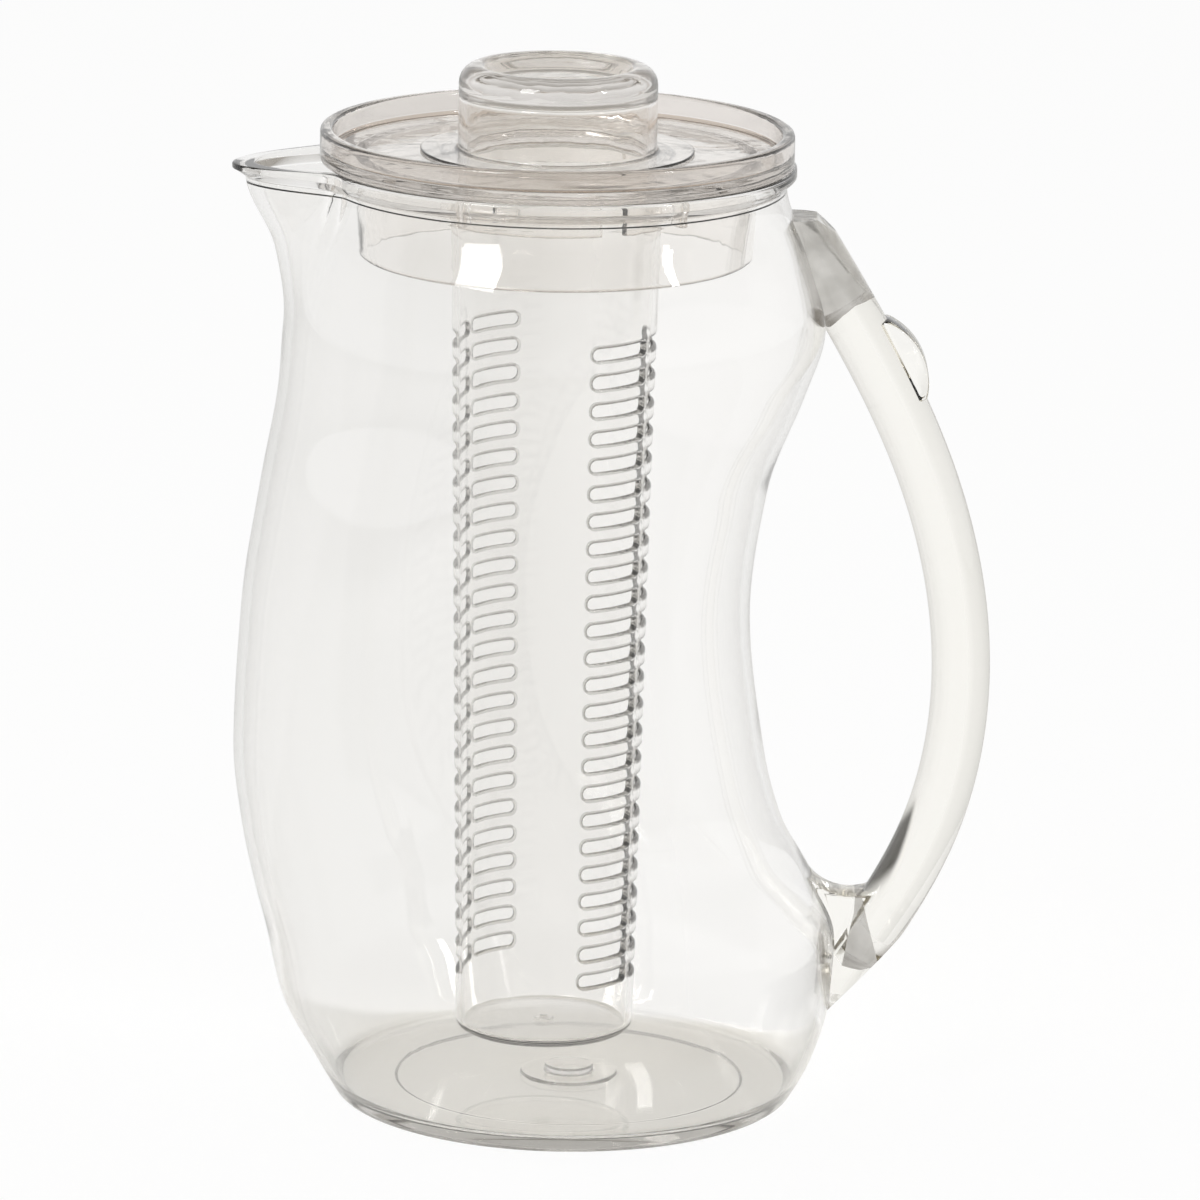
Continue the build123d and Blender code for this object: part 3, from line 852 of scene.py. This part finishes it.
# %% Cut and join the handle
foot_bond = [
    (74.1, 57.0), (73.8, 50.0), (72.4, 43.6), (70.9, 36.2), (75.9, 35.0), (80.6, 35.6), (78.8, 42.8),
    (77.2, 48.5), (75.6, 55.0),
]
top_bond = [
    (40.0, 200.0), (64.1, 205.8), (67.2, 209.3), (70.4, 212.0), (74.0, 213.0), (90.0, 213.6), (90.0, 260.0),
    (40.0, 260.0),
]
for tool in (thumb_rest, foot_web):
    combine(handle, tool, "UNION")
for tool in [jug_form] + end_cuts:
    combine(handle, tool, "DIFFERENCE")
one_material(handle, handle_clear)
bonds = [split_off(handle, "bond_foot", flat(foot_bond)), split_off(handle, "bond_top", flat(top_bond))]
for bond in bonds:
    one_material(bond, bond_grey)
print("bonded ends:", [len(bond.data.polygons) for bond in bonds], "faces")
join_into(handle, *bonds)
shade(handle, sharp_angle=32)
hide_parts("handle")
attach(handle, "pitcher")
print("handle:", len(handle.data.polygons), "faces,", size_in_mm(handle), "mm")

# %% [markdown]
# ## Turned pieces
# The lid and the knob are round about the mouth's axis, like pieces turned on a lathe. The tree makes a
# grid with one row for each point of the profile and bends it round: the row looks up the profile
# point, and the column gives the angle. The Screw modifier could spin a profile too, but here the
# number of columns and the axis stay named inputs.

# %% Tree for a turned piece
def place_round(tree, radius, angle, axis_x, height):
    """Place at a radius and an angle round an upright axis."""
    along = calculate(tree, "MULTIPLY", radius, calculate(tree, "COSINE", angle))
    sideways = calculate(tree, "MULTIPLY", radius, calculate(tree, "SINE", angle))
    spot = {0: calculate(tree, "ADD", along, axis_x), 1: sideways, 2: height}
    return add_node(tree, "ShaderNodeCombineXYZ", spot).outputs[0]


turn_tree, given = new_shape_tree("turned_piece", [("Columns", "Int"), ("Axis X", "Float")])
profile_size = add_node(turn_tree, "GeometryNodeAttributeDomainSize", {0: given["Geometry"]})
row_length = calculate(turn_tree, "ADD", given["Columns"], 1.0)
grid = {"Vertices X": profile_size.outputs["Point Count"], "Vertices Y": row_length}
sheet = add_node(turn_tree, "GeometryNodeMeshGrid", grid).outputs["Mesh"]
number = add_node(turn_tree, "GeometryNodeInputIndex").outputs[0]
row_share = calculate(turn_tree, "DIVIDE", calculate(turn_tree, "ADD", number, 0.5), row_length)
row = calculate(turn_tree, "FLOOR", row_share)
column = calculate(turn_tree, "SUBTRACT", number, calculate(turn_tree, "MULTIPLY", row, row_length))
turn_share = calculate(turn_tree, "DIVIDE", column, given["Columns"])
angle = calculate(turn_tree, "MULTIPLY", turn_share, 2 * math.pi)
here = add_node(turn_tree, "GeometryNodeInputPosition").outputs[0]
wanted = {"Geometry": given["Geometry"], "Value": here, "Index": row}
point = add_node(turn_tree, "GeometryNodeSampleIndex", wanted, data_type="FLOAT_VECTOR", domain="POINT")
profile = add_node(turn_tree, "ShaderNodeSeparateXYZ", {0: point.outputs[0]}).outputs
place = place_round(turn_tree, profile["X"], angle, given["Axis X"], profile["Z"])
bend = add_node(turn_tree, "GeometryNodeSetPosition", {"Geometry": sheet, "Position": place}).outputs[0]
weld = add_node(turn_tree, "GeometryNodeMergeByDistance", {"Geometry": bend, "Distance": 2e-6})
end_tree(turn_tree, given, weld.outputs[0])


def turned(name, profile, columns, material):
    """Piece turned about the mouth's axis from a profile of (radius, height) points in millimetres."""
    piece = line_piece(name, [(point.x, 0, point.y) for point in profile])
    bake_tree(piece, turn_tree, {"Columns": columns, "Axis X": mouth_x * mm, "Material": material})
    point_outwards(piece.data)
    one_material(piece, material)
    return piece


print("turned_piece tree:", len(turn_tree.nodes), "nodes")

# %% [markdown]
# ## Lid
# The lid is a shallow tray with a raised rim. A deep skirt drops into the mouth, and a collar below
# its hole takes the top of the tube. Rim, tray, skirt and collar could be turned one by one and
# joined, but the whole section is one closed profile, so the lid is turned in one go.

# %% Turn the lid
tray_low, tray_top, rim_top, rim_line = 247.0, 249.6, 255.5, 250.2
rim_in, rim_out, seam_radius, hole_radius = 57.6, 61.0, 40.0, 23.3
skirt_low, skirt_wall, skirt_top_radius, skirt_low_radius = 222.4, 2.0, 51.4, 50.7
collar_low, collar_in, collar_out = 233.0, 27.8, 29.8
lid_corners = [
    (seam_radius, tray_low, 0), (skirt_top_radius - skirt_wall, tray_low, 0.6),
    (skirt_low_radius - skirt_wall, skirt_low, 0.95), (skirt_low_radius, skirt_low, 0.95),
    (skirt_top_radius, tray_low, 0.6), (rim_out, tray_low, 0.7), (rim_out, rim_line, 0),
    (rim_out, rim_top, 1.1), (rim_in, rim_top, 1.1), (rim_in, tray_top, 0.9), (hole_radius, tray_top, 0.4),
    (hole_radius, tray_low, 0.4), (collar_in, tray_low, 0.5), (collar_in, collar_low, 0.5),
    (collar_out, collar_low, 0.5), (collar_out, tray_low, 0.5), (seam_radius, tray_low, 0),
]
lid = turned("lid_tray", rounded_line(lid_corners), columns=180, material=lid_clear)
print("turned lid:", len(lid.data.polygons), "faces")

# %% [markdown]
# ## Bayonet slots in the collar
# Two slots shaped like an L let the tube's lugs in from below and hold them after a part turn. Each is
# cut from the collar with two blocks, bent round the axis so that the ends of the slots are square to
# the collar's wall. Straight blocks would be simpler, but would cut the ends askew.

# %% Cut the bayonet slots
lug_angle, bayonet_turn = -115.0, 55.0
lug_top_z, lug_height, lug_width, lug_room = 241.2, 2.6, 6.0, 0.35
lock_low, lock_high, entry_low, entry_high = 238.25, 241.55, 232.0, 241.0
cut_in, cut_out, bend_step = 27.0, 30.6, 2.5
slot_half = math.degrees((lug_width / 2 + lug_room) / collar_in)


def bent_block(name, inner, outer, low, high, first, last):
    """Block bent round the mouth's axis between two radii, two heights and two angles."""
    turns = [math.radians(value) for value in spread(first, last, bend_step)]
    points = []
    for turn in turns:
        for radius, z in ((inner, low), (outer, low), (outer, high), (inner, high)):
            points.append((mouth_x + radius * math.cos(turn), radius * math.sin(turn), z))
    faces = [(0, 1, 2, 3), tuple(len(points) - 4 + corner for corner in (3, 2, 1, 0))]
    for step in range(len(turns) - 1):
        for corner in range(4):
            near, on = 4 * step + corner, 4 * step + (corner + 1) % 4
            faces.append((near, near + 4, on + 4, on))
    piece = mesh_piece(name, points, faces=faces)
    point_outwards(piece.data)
    return piece


for half_turn in (0, 180):
    locked = lug_angle + half_turn
    opened = locked + bayonet_turn
    cuts = (("lock_run", lock_low, lock_high, locked), ("lock_entry", entry_low, entry_high, opened))
    for name, low, high, start in cuts:
        cutter = bent_block(name, cut_in, cut_out, low, high, start - slot_half, opened + slot_half)
        combine(lid, cutter, "DIFFERENCE")
print("collar slots cut, lid now has", len(lid.data.polygons), "faces")

# %% [markdown]
# ## Centring ribs
# Six short ribs outside the skirt keep the lid in the middle of the mouth. One small rounded block is
# repeated round the axis with Instance on Points, which is the usual way to repeat a part. The finished
# lid then gets painted shade: a dark line in the corner of the tray, some darker tan on the raised rim,
# a little on the tray and none below.

# %% Repeat the ribs
rib_sizes = [("Count", "Int"), ("First Angle", "Float"), ("Axis X", "Float")]
rib_tree, given = new_shape_tree("ribs_round_axis", rib_sizes)
axis_spot = add_node(rib_tree, "ShaderNodeCombineXYZ", {0: given["Axis X"]}).outputs[0]
line = {"Offset": (0, 0, 0), "Count": given["Count"], "Start Location": axis_spot}
points = add_node(rib_tree, "GeometryNodeMeshLine", line).outputs[0]
number = add_node(rib_tree, "GeometryNodeInputIndex").outputs[0]
share = calculate(rib_tree, "DIVIDE", calculate(rib_tree, "MULTIPLY", number, 2 * math.pi), given["Count"])
turn = {2: calculate(rib_tree, "ADD", share, given["First Angle"])}
way = add_node(rib_tree, "ShaderNodeCombineXYZ", turn).outputs[0]
copies = {"Points": points, "Instance": given["Geometry"], "Rotation": way}
end_tree(rib_tree, given, add_node(rib_tree, "GeometryNodeInstanceOnPoints", copies).outputs[0])

rib_low, rib_top, rib_reach, rib_low_root, rib_top_root = 239.0, 246.97, 56.2, 51.22, 51.44
rib_half_width, rib_count, rib_start = 0.9, 6, 5.0
rib_side = [(rib_top_root, rib_top), (rib_reach, rib_top), (rib_reach, rib_low), (rib_low_root, rib_low)]
ribs = prism("lid_ribs", flat(rib_side), rib_half_width)
round_edges(ribs, width=0.35, segments=3, angle=30)
bake_tree(ribs, rib_tree, {
    "Count": rib_count, "First Angle": math.radians(rib_start), "Axis X": mouth_x * mm,
    "Material": lid_clear,
})
# Shares of painted shade on the lid: full in the tray's corner, less on the raised rim, least on the tray.
tray_corner_painted_shade, lid_rim_painted_shade, tray_painted_shade = 1.0, 0.3, 0.2


def lid_painted_shade(face):
    """Share of the lid's painted shade on a face."""
    height = face.center.z / mm
    reach = math.hypot(face.center.x / mm - mouth_x, face.center.y / mm)
    on_rim = reach > rim_in - 1.2
    in_corner = on_rim and reach < rim_in + 0.1 and height < tray_top + 1.0
    below_line = reach > rim_out - 0.8 and height < rim_line
    if below_line or height < tray_low - 0.5 or face.normal.z < -0.5:
        return 0.0
    return tray_corner_painted_shade if in_corner else lid_rim_painted_shade if on_rim else tray_painted_shade


for piece in (lid, ribs):
    one_material(piece, lid_clear)
join_into(lid, ribs)
paint_shade_on_faces(lid, lid_painted_shade)
shade(lid, sharp_angle=40)
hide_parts("lid")
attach(lid, "lid_unit")
print("lid with its ribs:", len(lid.data.polygons), "faces")

# %% [markdown]
# ## Knob
# The knob is a hollow cap with a dished top that stands on a thin round foot. It is bonded to the lid
# over its hole, so seen from above one looks through the dish into the tube. The same tree turns it,
# from a profile that runs down the inside of the hollow, round the foot and up over the dished top.

# %% Turn the knob
knob_radius, knob_top, knob_foot, foot_low, foot_top = 25.6, 272.1, 35.3, 249.64, 250.4
hollow_top, dish_edge, dish_radius, dish_floor = 265.4, 19.4, 16.2, 267.7
knob_corners = [
    (0.0, hollow_top, 0), (hole_radius, hollow_top, 2.2), (hole_radius, foot_low, 0.3),
    (knob_foot, foot_low, 0.3), (knob_foot, foot_top, 0.3), (knob_radius, foot_top, 0.7),
    (knob_radius, knob_top, 4.8), (dish_edge, knob_top, 1.3), (dish_radius, dish_floor, 2.2),
    (0.0, dish_floor, 0),
]
knob = turned("lid_knob", rounded_line(knob_corners, steps=6), columns=160, material=knob_clear)
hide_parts("knob")
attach(knob, "lid_unit")
print("knob:", len(knob.data.polygons), "faces")

# %% [markdown]
# ## Slotted tube
# The infuser is a long cup with two groups of slots, two columns in each. Cutting a hundred slots
# with booleans would leave rough edges, so the tube is made the way a sheet is perforated: a flat tile
# with one clean slot is repeated in rows, columns and groups, a plain sheet fills the rest, and the
# whole sheet is then rolled up along the tube's profile.

# %% Profile of the tube and its flat lengths
tube_low, tube_top, tube_low_radius, tube_top_radius, tube_wall = 16.6, 246.7, 23.2, 27.3, 1.8
tube_round = 25.2
tube_corners = [(0.0, tube_low, 0), (tube_low_radius, tube_low, 2.6), (tube_top_radius, tube_top, 0)]
tube_line = rounded_line(tube_corners, steps=8, guard=0.6)
tube_lengths = [0.0]
for before, after in zip(tube_line, tube_line[1:]):
    tube_lengths.append(tube_lengths[-1] + (after - before).length)
slot_pitch, slot_rows, first_slot_z = 7.25, 24, 34.15
side_slant = (tube_line[-1] - tube_line[-2]).length / (tube_top - tube_line[-2].y)
first_slot = tube_lengths[-1] - (tube_top - first_slot_z) * side_slant
slots_low = first_slot - slot_pitch / 2
slots_high = slots_low + slot_rows * slot_pitch
print("length along the tube's profile:", round(tube_lengths[-1], 1), "mm")

# %% Tile with one slot
slot_length, slot_radius, slot_guard, slot_step = 17.0, 1.55, 1.0, 1.11
column_spread, group_middle = math.radians(45.0), math.radians(-24.8)
slot_half_length = tube_round * math.asin(slot_length / 2 / tube_round)
straight = slot_half_length - slot_radius
cell_half = tube_round * column_spread / 2
column_steps = spread(-straight, straight, slot_step)
edge_step = (straight + cell_half) / 2
cell_columns = [-cell_half, -edge_step] + column_steps + [edge_step, cell_half]
half_pitch = slot_pitch / 2


def slot_tile():
    """Flat tile with one round-ended slot and clean faces round it."""
    cell_side = [(cell_half, share * half_pitch) for share in (1, 0.5, 0, -0.5, -1)]
    cell_side = [(edge_step, half_pitch)] + cell_side + [(edge_step, -half_pitch)]
    end_step = math.pi / (len(cell_side) + 1)
    turns = [math.pi / 2 - end_step * (number + 1) for number in range(len(cell_side))]
    slot_end = [(straight + slot_radius * math.cos(turn), slot_radius * math.sin(turn)) for turn in turns]
    slot_edge = [(x, slot_radius) for x in column_steps] + slot_end
    cell_edge = [(x, half_pitch) for x in column_steps] + cell_side
    slot_edge += [(-x, -y) for x, y in slot_edge]
    cell_edge += [(-x, -y) for x, y in cell_edge]
    guard_edge = []
    for near, off in zip(slot_edge, cell_edge):
        way = (Vector(off) - Vector(near)).normalized()
        guard_edge.append(tuple(Vector(near) + way * slot_guard))
    count = len(slot_edge)
    points = [(x, y, 0) for edge in (slot_edge, guard_edge, cell_edge) for x, y in edge]
    faces = []
    for ring in (0, count):
        for step in range(count):
            after = (step + 1) % count
            faces.append((ring + step, ring + count + step, ring + count + after, ring + after))
    return mesh_piece("slot_tile", points, faces=faces)


tile = slot_tile()
print("slot tile:", len(tile.data.polygons), "faces")

# %% Plain sheet round the slots
plain_step, low_step, high_step, top_guard, same_place = 1.15, 2.0, 5.0, 1.0, 1e-4
group_width = 4 * cell_half
group_left = [(group_middle - column_spread + half_turn) * tube_round for half_turn in (0, math.pi)]
slot_columns, plain_columns = [], []
for left in group_left:
    for middle in (left + cell_half, left + 3 * cell_half):
        slot_columns += [middle + x for x in cell_columns[:-1]]
    plain_columns.append(spread(left + group_width, left + math.pi * tube_round, plain_step))
all_columns = sorted(set(slot_columns + plain_columns[0] + plain_columns[1]))
all_columns = [x for before, x in zip([-math.inf] + all_columns, all_columns) if x - before > same_place]
low_rows = tube_lengths[:-1] + spread(tube_lengths[-2], slots_low, low_step)[1:]
high_rows = spread(slots_high, tube_lengths[-1] - top_guard, high_step) + [tube_lengths[-1]]
slot_levels = spread(slots_low, slots_high, half_pitch / 2)
sheets = [(all_columns, low_rows), (all_columns, high_rows)] + [(xs, slot_levels) for xs in plain_columns]
sheet_points, sheet_faces = [], []
for xs, ys in sheets:
    first = len(sheet_points)
    sheet_points += [(x, y, 0) for y in ys for x in xs]
    for level in range(len(ys) - 1):
        for step in range(len(xs) - 1):
            corner = first + level * len(xs) + step
            sheet_faces.append((corner, corner + 1, corner + len(xs) + 1, corner + len(xs)))
tube = mesh_piece("infuser_cup", sheet_points, faces=sheet_faces)
print("plain sheet:", len(sheet_faces), "faces on", len(all_columns), "columns")

# %% [markdown]
# ## Perforate and roll the sheet
# The tree copies the slot tile along three lines of points, one after the other: up for the rows,
# sideways for the columns, and half way round for the two groups. It joins the copies to the plain
# sheet, merges the seams and then moves every point: its height on the sheet becomes a length along
# the profile, and its place across becomes an angle.

# %% Tree that perforates and rolls the sheet
roll_lengths = ("First Row", "Pitch", "Column Spread", "Group Middle", "Roll Radius", "Axis X")
roll_sizes = [("Slot Tile", "Object"), ("Profile", "Object"), ("Rows", "Int")]
roll_sizes += [(label, "Float") for label in roll_lengths]
roll_tree, given = new_shape_tree("rolled_slotted_tube", roll_sizes)


def repeat_along(tree, shape, count, axis, start, offset):
    """Copies a shape along a line of points on one axis and makes the copies real."""
    line = {"Count": count}
    for name, distance in (("Start Location", start), ("Offset", offset)):
        line[name] = add_node(tree, "ShaderNodeCombineXYZ", {axis: distance}).outputs[0]
    points = add_node(tree, "GeometryNodeMeshLine", line).outputs[0]
    copies = add_node(tree, "GeometryNodeInstanceOnPoints", {"Points": points, "Instance": shape}).outputs[0]
    return add_node(tree, "GeometryNodeRealizeInstances", {"Geometry": copies}).outputs[0]


def shape_of(tree, source):
    """Shape of an object that is given to a tree."""
    return add_node(tree, "GeometryNodeObjectInfo", {"Object": source}).outputs["Geometry"]


slot_shape = shape_of(roll_tree, given["Slot Tile"])
rows = repeat_along(roll_tree, slot_shape, given["Rows"], "Y", given["First Row"], given["Pitch"])
half_spread = calculate(roll_tree, "MULTIPLY", given["Column Spread"], -0.5)
columns = repeat_along(roll_tree, rows, 2, "X", half_spread, given["Column Spread"])
half_way = calculate(roll_tree, "MULTIPLY", given["Roll Radius"], math.pi)
groups = repeat_along(roll_tree, columns, 2, "X", given["Group Middle"], half_way)
flat_sheet = add_node(roll_tree, "GeometryNodeJoinGeometry")
for source in (groups, given["Geometry"]):
    roll_tree.links.new(source, flat_sheet.inputs[0])
merge = {"Geometry": flat_sheet.outputs[0], "Distance": 1e-5}
one_sheet = add_node(roll_tree, "GeometryNodeMergeByDistance", merge).outputs[0]
here = add_node(roll_tree, "GeometryNodeInputPosition").outputs[0]
on_sheet = add_node(roll_tree, "ShaderNodeSeparateXYZ", {0: here}).outputs
profile_shape = shape_of(roll_tree, given["Profile"])
curve = add_node(roll_tree, "GeometryNodeMeshToCurve", {0: profile_shape}).outputs[0]
along = {"Curves": curve, "Length": on_sheet["Y"]}
follow = add_node(roll_tree, "GeometryNodeSampleCurve", along, mode="LENGTH")
profile = add_node(roll_tree, "ShaderNodeSeparateXYZ", {0: follow.outputs["Position"]}).outputs
angle = calculate(roll_tree, "DIVIDE", on_sheet["X"], given["Roll Radius"])
place = place_round(roll_tree, profile["X"], angle, given["Axis X"], profile["Z"])
moved = {"Geometry": one_sheet, "Position": place}
rolled = add_node(roll_tree, "GeometryNodeSetPosition", moved).outputs[0]
closed = add_node(roll_tree, "GeometryNodeMergeByDistance", {"Geometry": rolled, "Distance": 3e-6})
end_tree(roll_tree, given, closed.outputs[0])
print("rolled_slotted_tube tree:", len(roll_tree.nodes), "nodes")

# %% [markdown]
# ## Wall of the tube
# The rolled sheet is the outer face of the tube. Solidify gives it an even wall inwards, and Bevel
# rounds the rims of the slots and the top edge. Both mark the new faces with the second place in the
# list of materials, which later becomes the share of painted shade that draws dark outlines there.

# %% Roll the tube and give it its wall
tube_profile = line_piece("tube_profile", [(point.x, 0, point.y) for point in tube_line])
bake_tree(tube, roll_tree, {
    "Slot Tile": tile, "Profile": tube_profile, "Rows": slot_rows,
    "First Row": first_slot * mm, "Pitch": slot_pitch * mm, "Column Spread": 2 * cell_half * mm,
    "Group Middle": group_middle * tube_round * mm, "Roll Radius": tube_round * mm,
    "Axis X": mouth_x * mm, "Material": tube_clear,
})
point_outwards(tube.data)
bpy.data.objects.remove(tile)
bpy.data.objects.remove(tube_profile)
one_material(tube, tube_clear)
tube.data.materials.append(tube_clear)
thickness = tube.modifiers.new("wall", "SOLIDIFY")
thickness.thickness, thickness.offset, thickness.use_even_offset = tube_wall * mm, -1.0, True
thickness.material_offset_rim = 1
round_edges(tube, width=0.8, segments=3, angle=50, edge_slot=1)
print("tube:", len(tube.data.polygons), "faces,", size_in_mm(tube), "mm")

# %% [markdown]
# ## Lugs and gate mark of the tube
# Two small lugs below the tube's top edge slide into the collar's slots, and the moulding gate left a
# small round nib in the middle of the tube's floor. They reuse the bent block and the turned piece and
# are put into the tube's mesh as islands, because a Boolean would disturb its even faces.

# %% Add the lugs and the nib
lugs = []
lug_in, lug_out, nib_low, nib_top = 27.22, 29.4, 18.44, 19.5
lug_half = math.degrees(lug_width / 2 / tube_top_radius)
for half_turn in (0, 180):
    middle = lug_angle + half_turn
    first, last = middle - lug_half, middle + lug_half
    lug = bent_block("tube_lug", lug_in, lug_out, lug_top_z - lug_height, lug_top_z, first, last)
    round_edges(lug, width=0.3, segments=2, angle=40)
    one_material(lug, tube_clear)
    lugs.append(lug)
nib_corners = [
    (0.0, nib_low, 0), (2.6, nib_low, 0.1), (2.6, 19.0, 0.25), (1.2, 19.1, 0.2), (0.9, nib_top, 0.15),
    (0.0, nib_top, 0),
]
nib = turned("tube_nib", rounded_line(nib_corners, guard=0.15), columns=48, material=tube_clear)
# Painted shade: the slot walls, their roundings and the top edge get the darker tint, as dark outlines.
paint_shade_on_faces(tube, lambda face: face.material_index == 1)
one_material(tube, tube_clear)
join_into(tube, nib, *lugs)
shade(tube, sharp_angle=50)
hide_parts("infuser_tube")
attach(tube, "infuser")
print("tube with lugs:", sum(len(face.vertices) - 2 for face in tube.data.polygons), "triangles")

# %% [markdown]
# ## Table
# The pitcher stands on a plain pale table. To the eye the table is white, but through the plastic it
# keeps its own pale grey in front of a straight edge just behind the pitcher, a lighter sheet lies
# beyond, and a small grey card lies beside the handle. Such differences are what makes a clear object
# show on white. Real sheets and cards would also show beside the pitcher, so the material draws them
# by place and a Light Path node leaves them to the rays that come through the plastic.

# %% Table
def soft_step(tree, value, low, high):
    """Mask that rises smoothly from 0 to 1 between two values."""
    inputs = {"Value": value, "From Min": low, "From Max": high}
    return add_node(tree, "ShaderNodeMapRange", inputs, interpolation_type="SMOOTHSTEP").outputs[0]


def soft_band(tree, value, rise, fall):
    """Mask that rises over one pair of values and falls over another."""
    falling = calculate(tree, "SUBTRACT", 1.0, soft_step(tree, value, *fall))
    return calculate(tree, "MULTIPLY", soft_step(tree, value, *rise), falling)


table_half, table_drop = 6000.0, 0.3
sheet_edge, edge_slant = (0.053, 0.063), 0.13
card_across, card_along = ((0.11, 0.14), (0.18, 0.22)), ((-0.04, 0.0), (0.13, 0.17))
share_slope, share_middle, share_low, plain_share = 6.0, 0.8, 0.6, 0.9
pale_tone, front_tone, card_tone = (0.86, 0.86, 0.85), (0.76, 0.76, 0.745), (0.1, 0.098, 0.095)
table_sides = ((-1, -1), (1, -1), (1, 1), (-1, 1))
table_corners = [(x * table_half, y * table_half, -table_drop) for x, y in table_sides]
table = mesh_piece("table", table_corners, faces=[(0, 1, 2, 3)])
table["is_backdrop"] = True
table_pale = bpy.data.materials.new("table_pale")
tree = bare_nodes(table_pale)
rays = add_node(tree, "ShaderNodeLightPath").outputs
through = rays["Is Transmission Ray"]
place = add_node(tree, "ShaderNodeTexCoord").outputs["Object"]
spot = add_node(tree, "ShaderNodeSeparateXYZ", {0: place}).outputs
past_edge = calculate(tree, "ADD", spot["Y"], calculate(tree, "MULTIPLY", spot["X"], edge_slant))
sheet_mask = soft_step(tree, past_edge, *sheet_edge)
card_width = soft_band(tree, spot["X"], *card_across)
card_mask = calculate(tree, "MULTIPLY", card_width, soft_band(tree, spot["Y"], *card_along))
table_tone = mixed(tree, sheet_mask, front_tone, pale_tone)
through_tone = mixed(tree, card_mask, table_tone, card_tone)
matt = add_node(tree, "ShaderNodeBsdfDiffuse", {"Color": mixed(tree, through, pale_tone, through_tone)})
white = add_node(tree, "ShaderNodeEmission", {"Color": (1, 1, 1, 1), "Strength": 1.0})
to_right = calculate(tree, "ADD", calculate(tree, "MULTIPLY", spot["X"], share_slope), share_middle)
white_share = calculate(tree, "MINIMUM", calculate(tree, "MAXIMUM", to_right, share_low), 1.0)
bare_sheet = calculate(tree, "MULTIPLY", sheet_mask, calculate(tree, "SUBTRACT", 1.0, card_mask))
bright = calculate(tree, "MULTIPLY", bare_sheet, white_share)
seen_plain = calculate(tree, "MULTIPLY", rays["Is Camera Ray"], plain_share)
seen_white = calculate(tree, "MAXIMUM", seen_plain, calculate(tree, "MULTIPLY", bright, through))
surface = mixed_shader(tree, seen_white, matt, white).outputs[0]
add_node(tree, "ShaderNodeOutputMaterial", {"Surface": surface})
table.data.materials.append(table_pale)
print("table of", 2 * table_half * mm, "m")

# %% [markdown]
# ## Room and lamps
# The room lights the scene evenly from all sides. A reflection or a look through the plastic meets
# white walls that grow darker towards the ceiling, so that the upper edges show. A large lamp on the
# left stands for a window, and a narrow one on the right adds slim highlights. A ready picture of a
# room could light the scene too, but plain nodes are enough for a clear object.

# %% Room
plain_white, room_top = (1, 1, 1), (0.38, 0.36, 0.33)
world = bpy.data.worlds.new("studio")
bpy.context.scene.world = world
tree = bare_nodes(world)
rays = add_node(tree, "ShaderNodeLightPath").outputs
way = add_node(tree, "ShaderNodeTexCoord").outputs["Generated"]
rise = add_node(tree, "ShaderNodeSeparateXYZ", {0: way}).outputs["Z"]
fade = add_node(tree, "ShaderNodeMapRange", {"Value": rise, "From Min": 0.15, "From Max": 0.6}).outputs[0]
room_tone = mixed(tree, fade, plain_white, room_top)
seen_tone = mixed(tree, rays["Is Camera Ray"], room_tone, plain_white)
room = add_node(tree, "ShaderNodeBackground", {"Color": (1.0, 0.995, 0.985, 1), "Strength": 0.7})
seen = add_node(tree, "ShaderNodeBackground", {"Color": seen_tone, "Strength": 1.0})
looked_at = rays["Is Camera Ray"]
for kind in ("Is Glossy Ray", "Is Transmission Ray"):
    looked_at = calculate(tree, "MAXIMUM", looked_at, rays[kind])
add_node(tree, "ShaderNodeOutputWorld", {"Surface": mixed_shader(tree, looked_at, room, seen).outputs[0]})
print("room:", world.name, "with", len(tree.nodes), "nodes")

# %% Lamps
def window_lamp(name, spot, aim, size, power):
    """Oblong area lamp that looks at a point, all in metres."""
    data = bpy.data.lights.new(name, "AREA")
    data.shape, data.size, data.size_y, data.energy = "RECTANGLE", size[0], size[1], power
    lamp = add_object(name, data)
    lamp.location = spot
    lamp.rotation_euler = (Vector(aim) - Vector(spot)).to_track_quat("-Z", "Y").to_euler()
    return lamp


lamp_aim = (0, 0, 0.13)
key = window_lamp("window_light", (-1.6, -2.0, 2.2), lamp_aim, size=(1.0, 1.4), power=44)
fill = window_lamp("soft_fill", (2.0, -1.2, 1.6), lamp_aim, size=(0.16, 0.6), power=8)
print("lamps:", key.name, fill.name)

# %% [markdown]
# ## Last settings
# Light crosses up to twenty clear surfaces on its way through lid, skirt, tube and jug, so the paths
# may bounce more often than usual.

# %% Finish
scene = bpy.context.scene
scene.view_settings.view_transform = "Standard"
scene.cycles.max_bounces = 32
scene.cycles.transmission_bounces = 32
scene.cycles.glossy_bounces = 16
scene.cycles.transparent_max_bounces = 32
low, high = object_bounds()
print("visual box in mm:", [round((b - a) / mm, 1) for a, b in zip(low, high)])
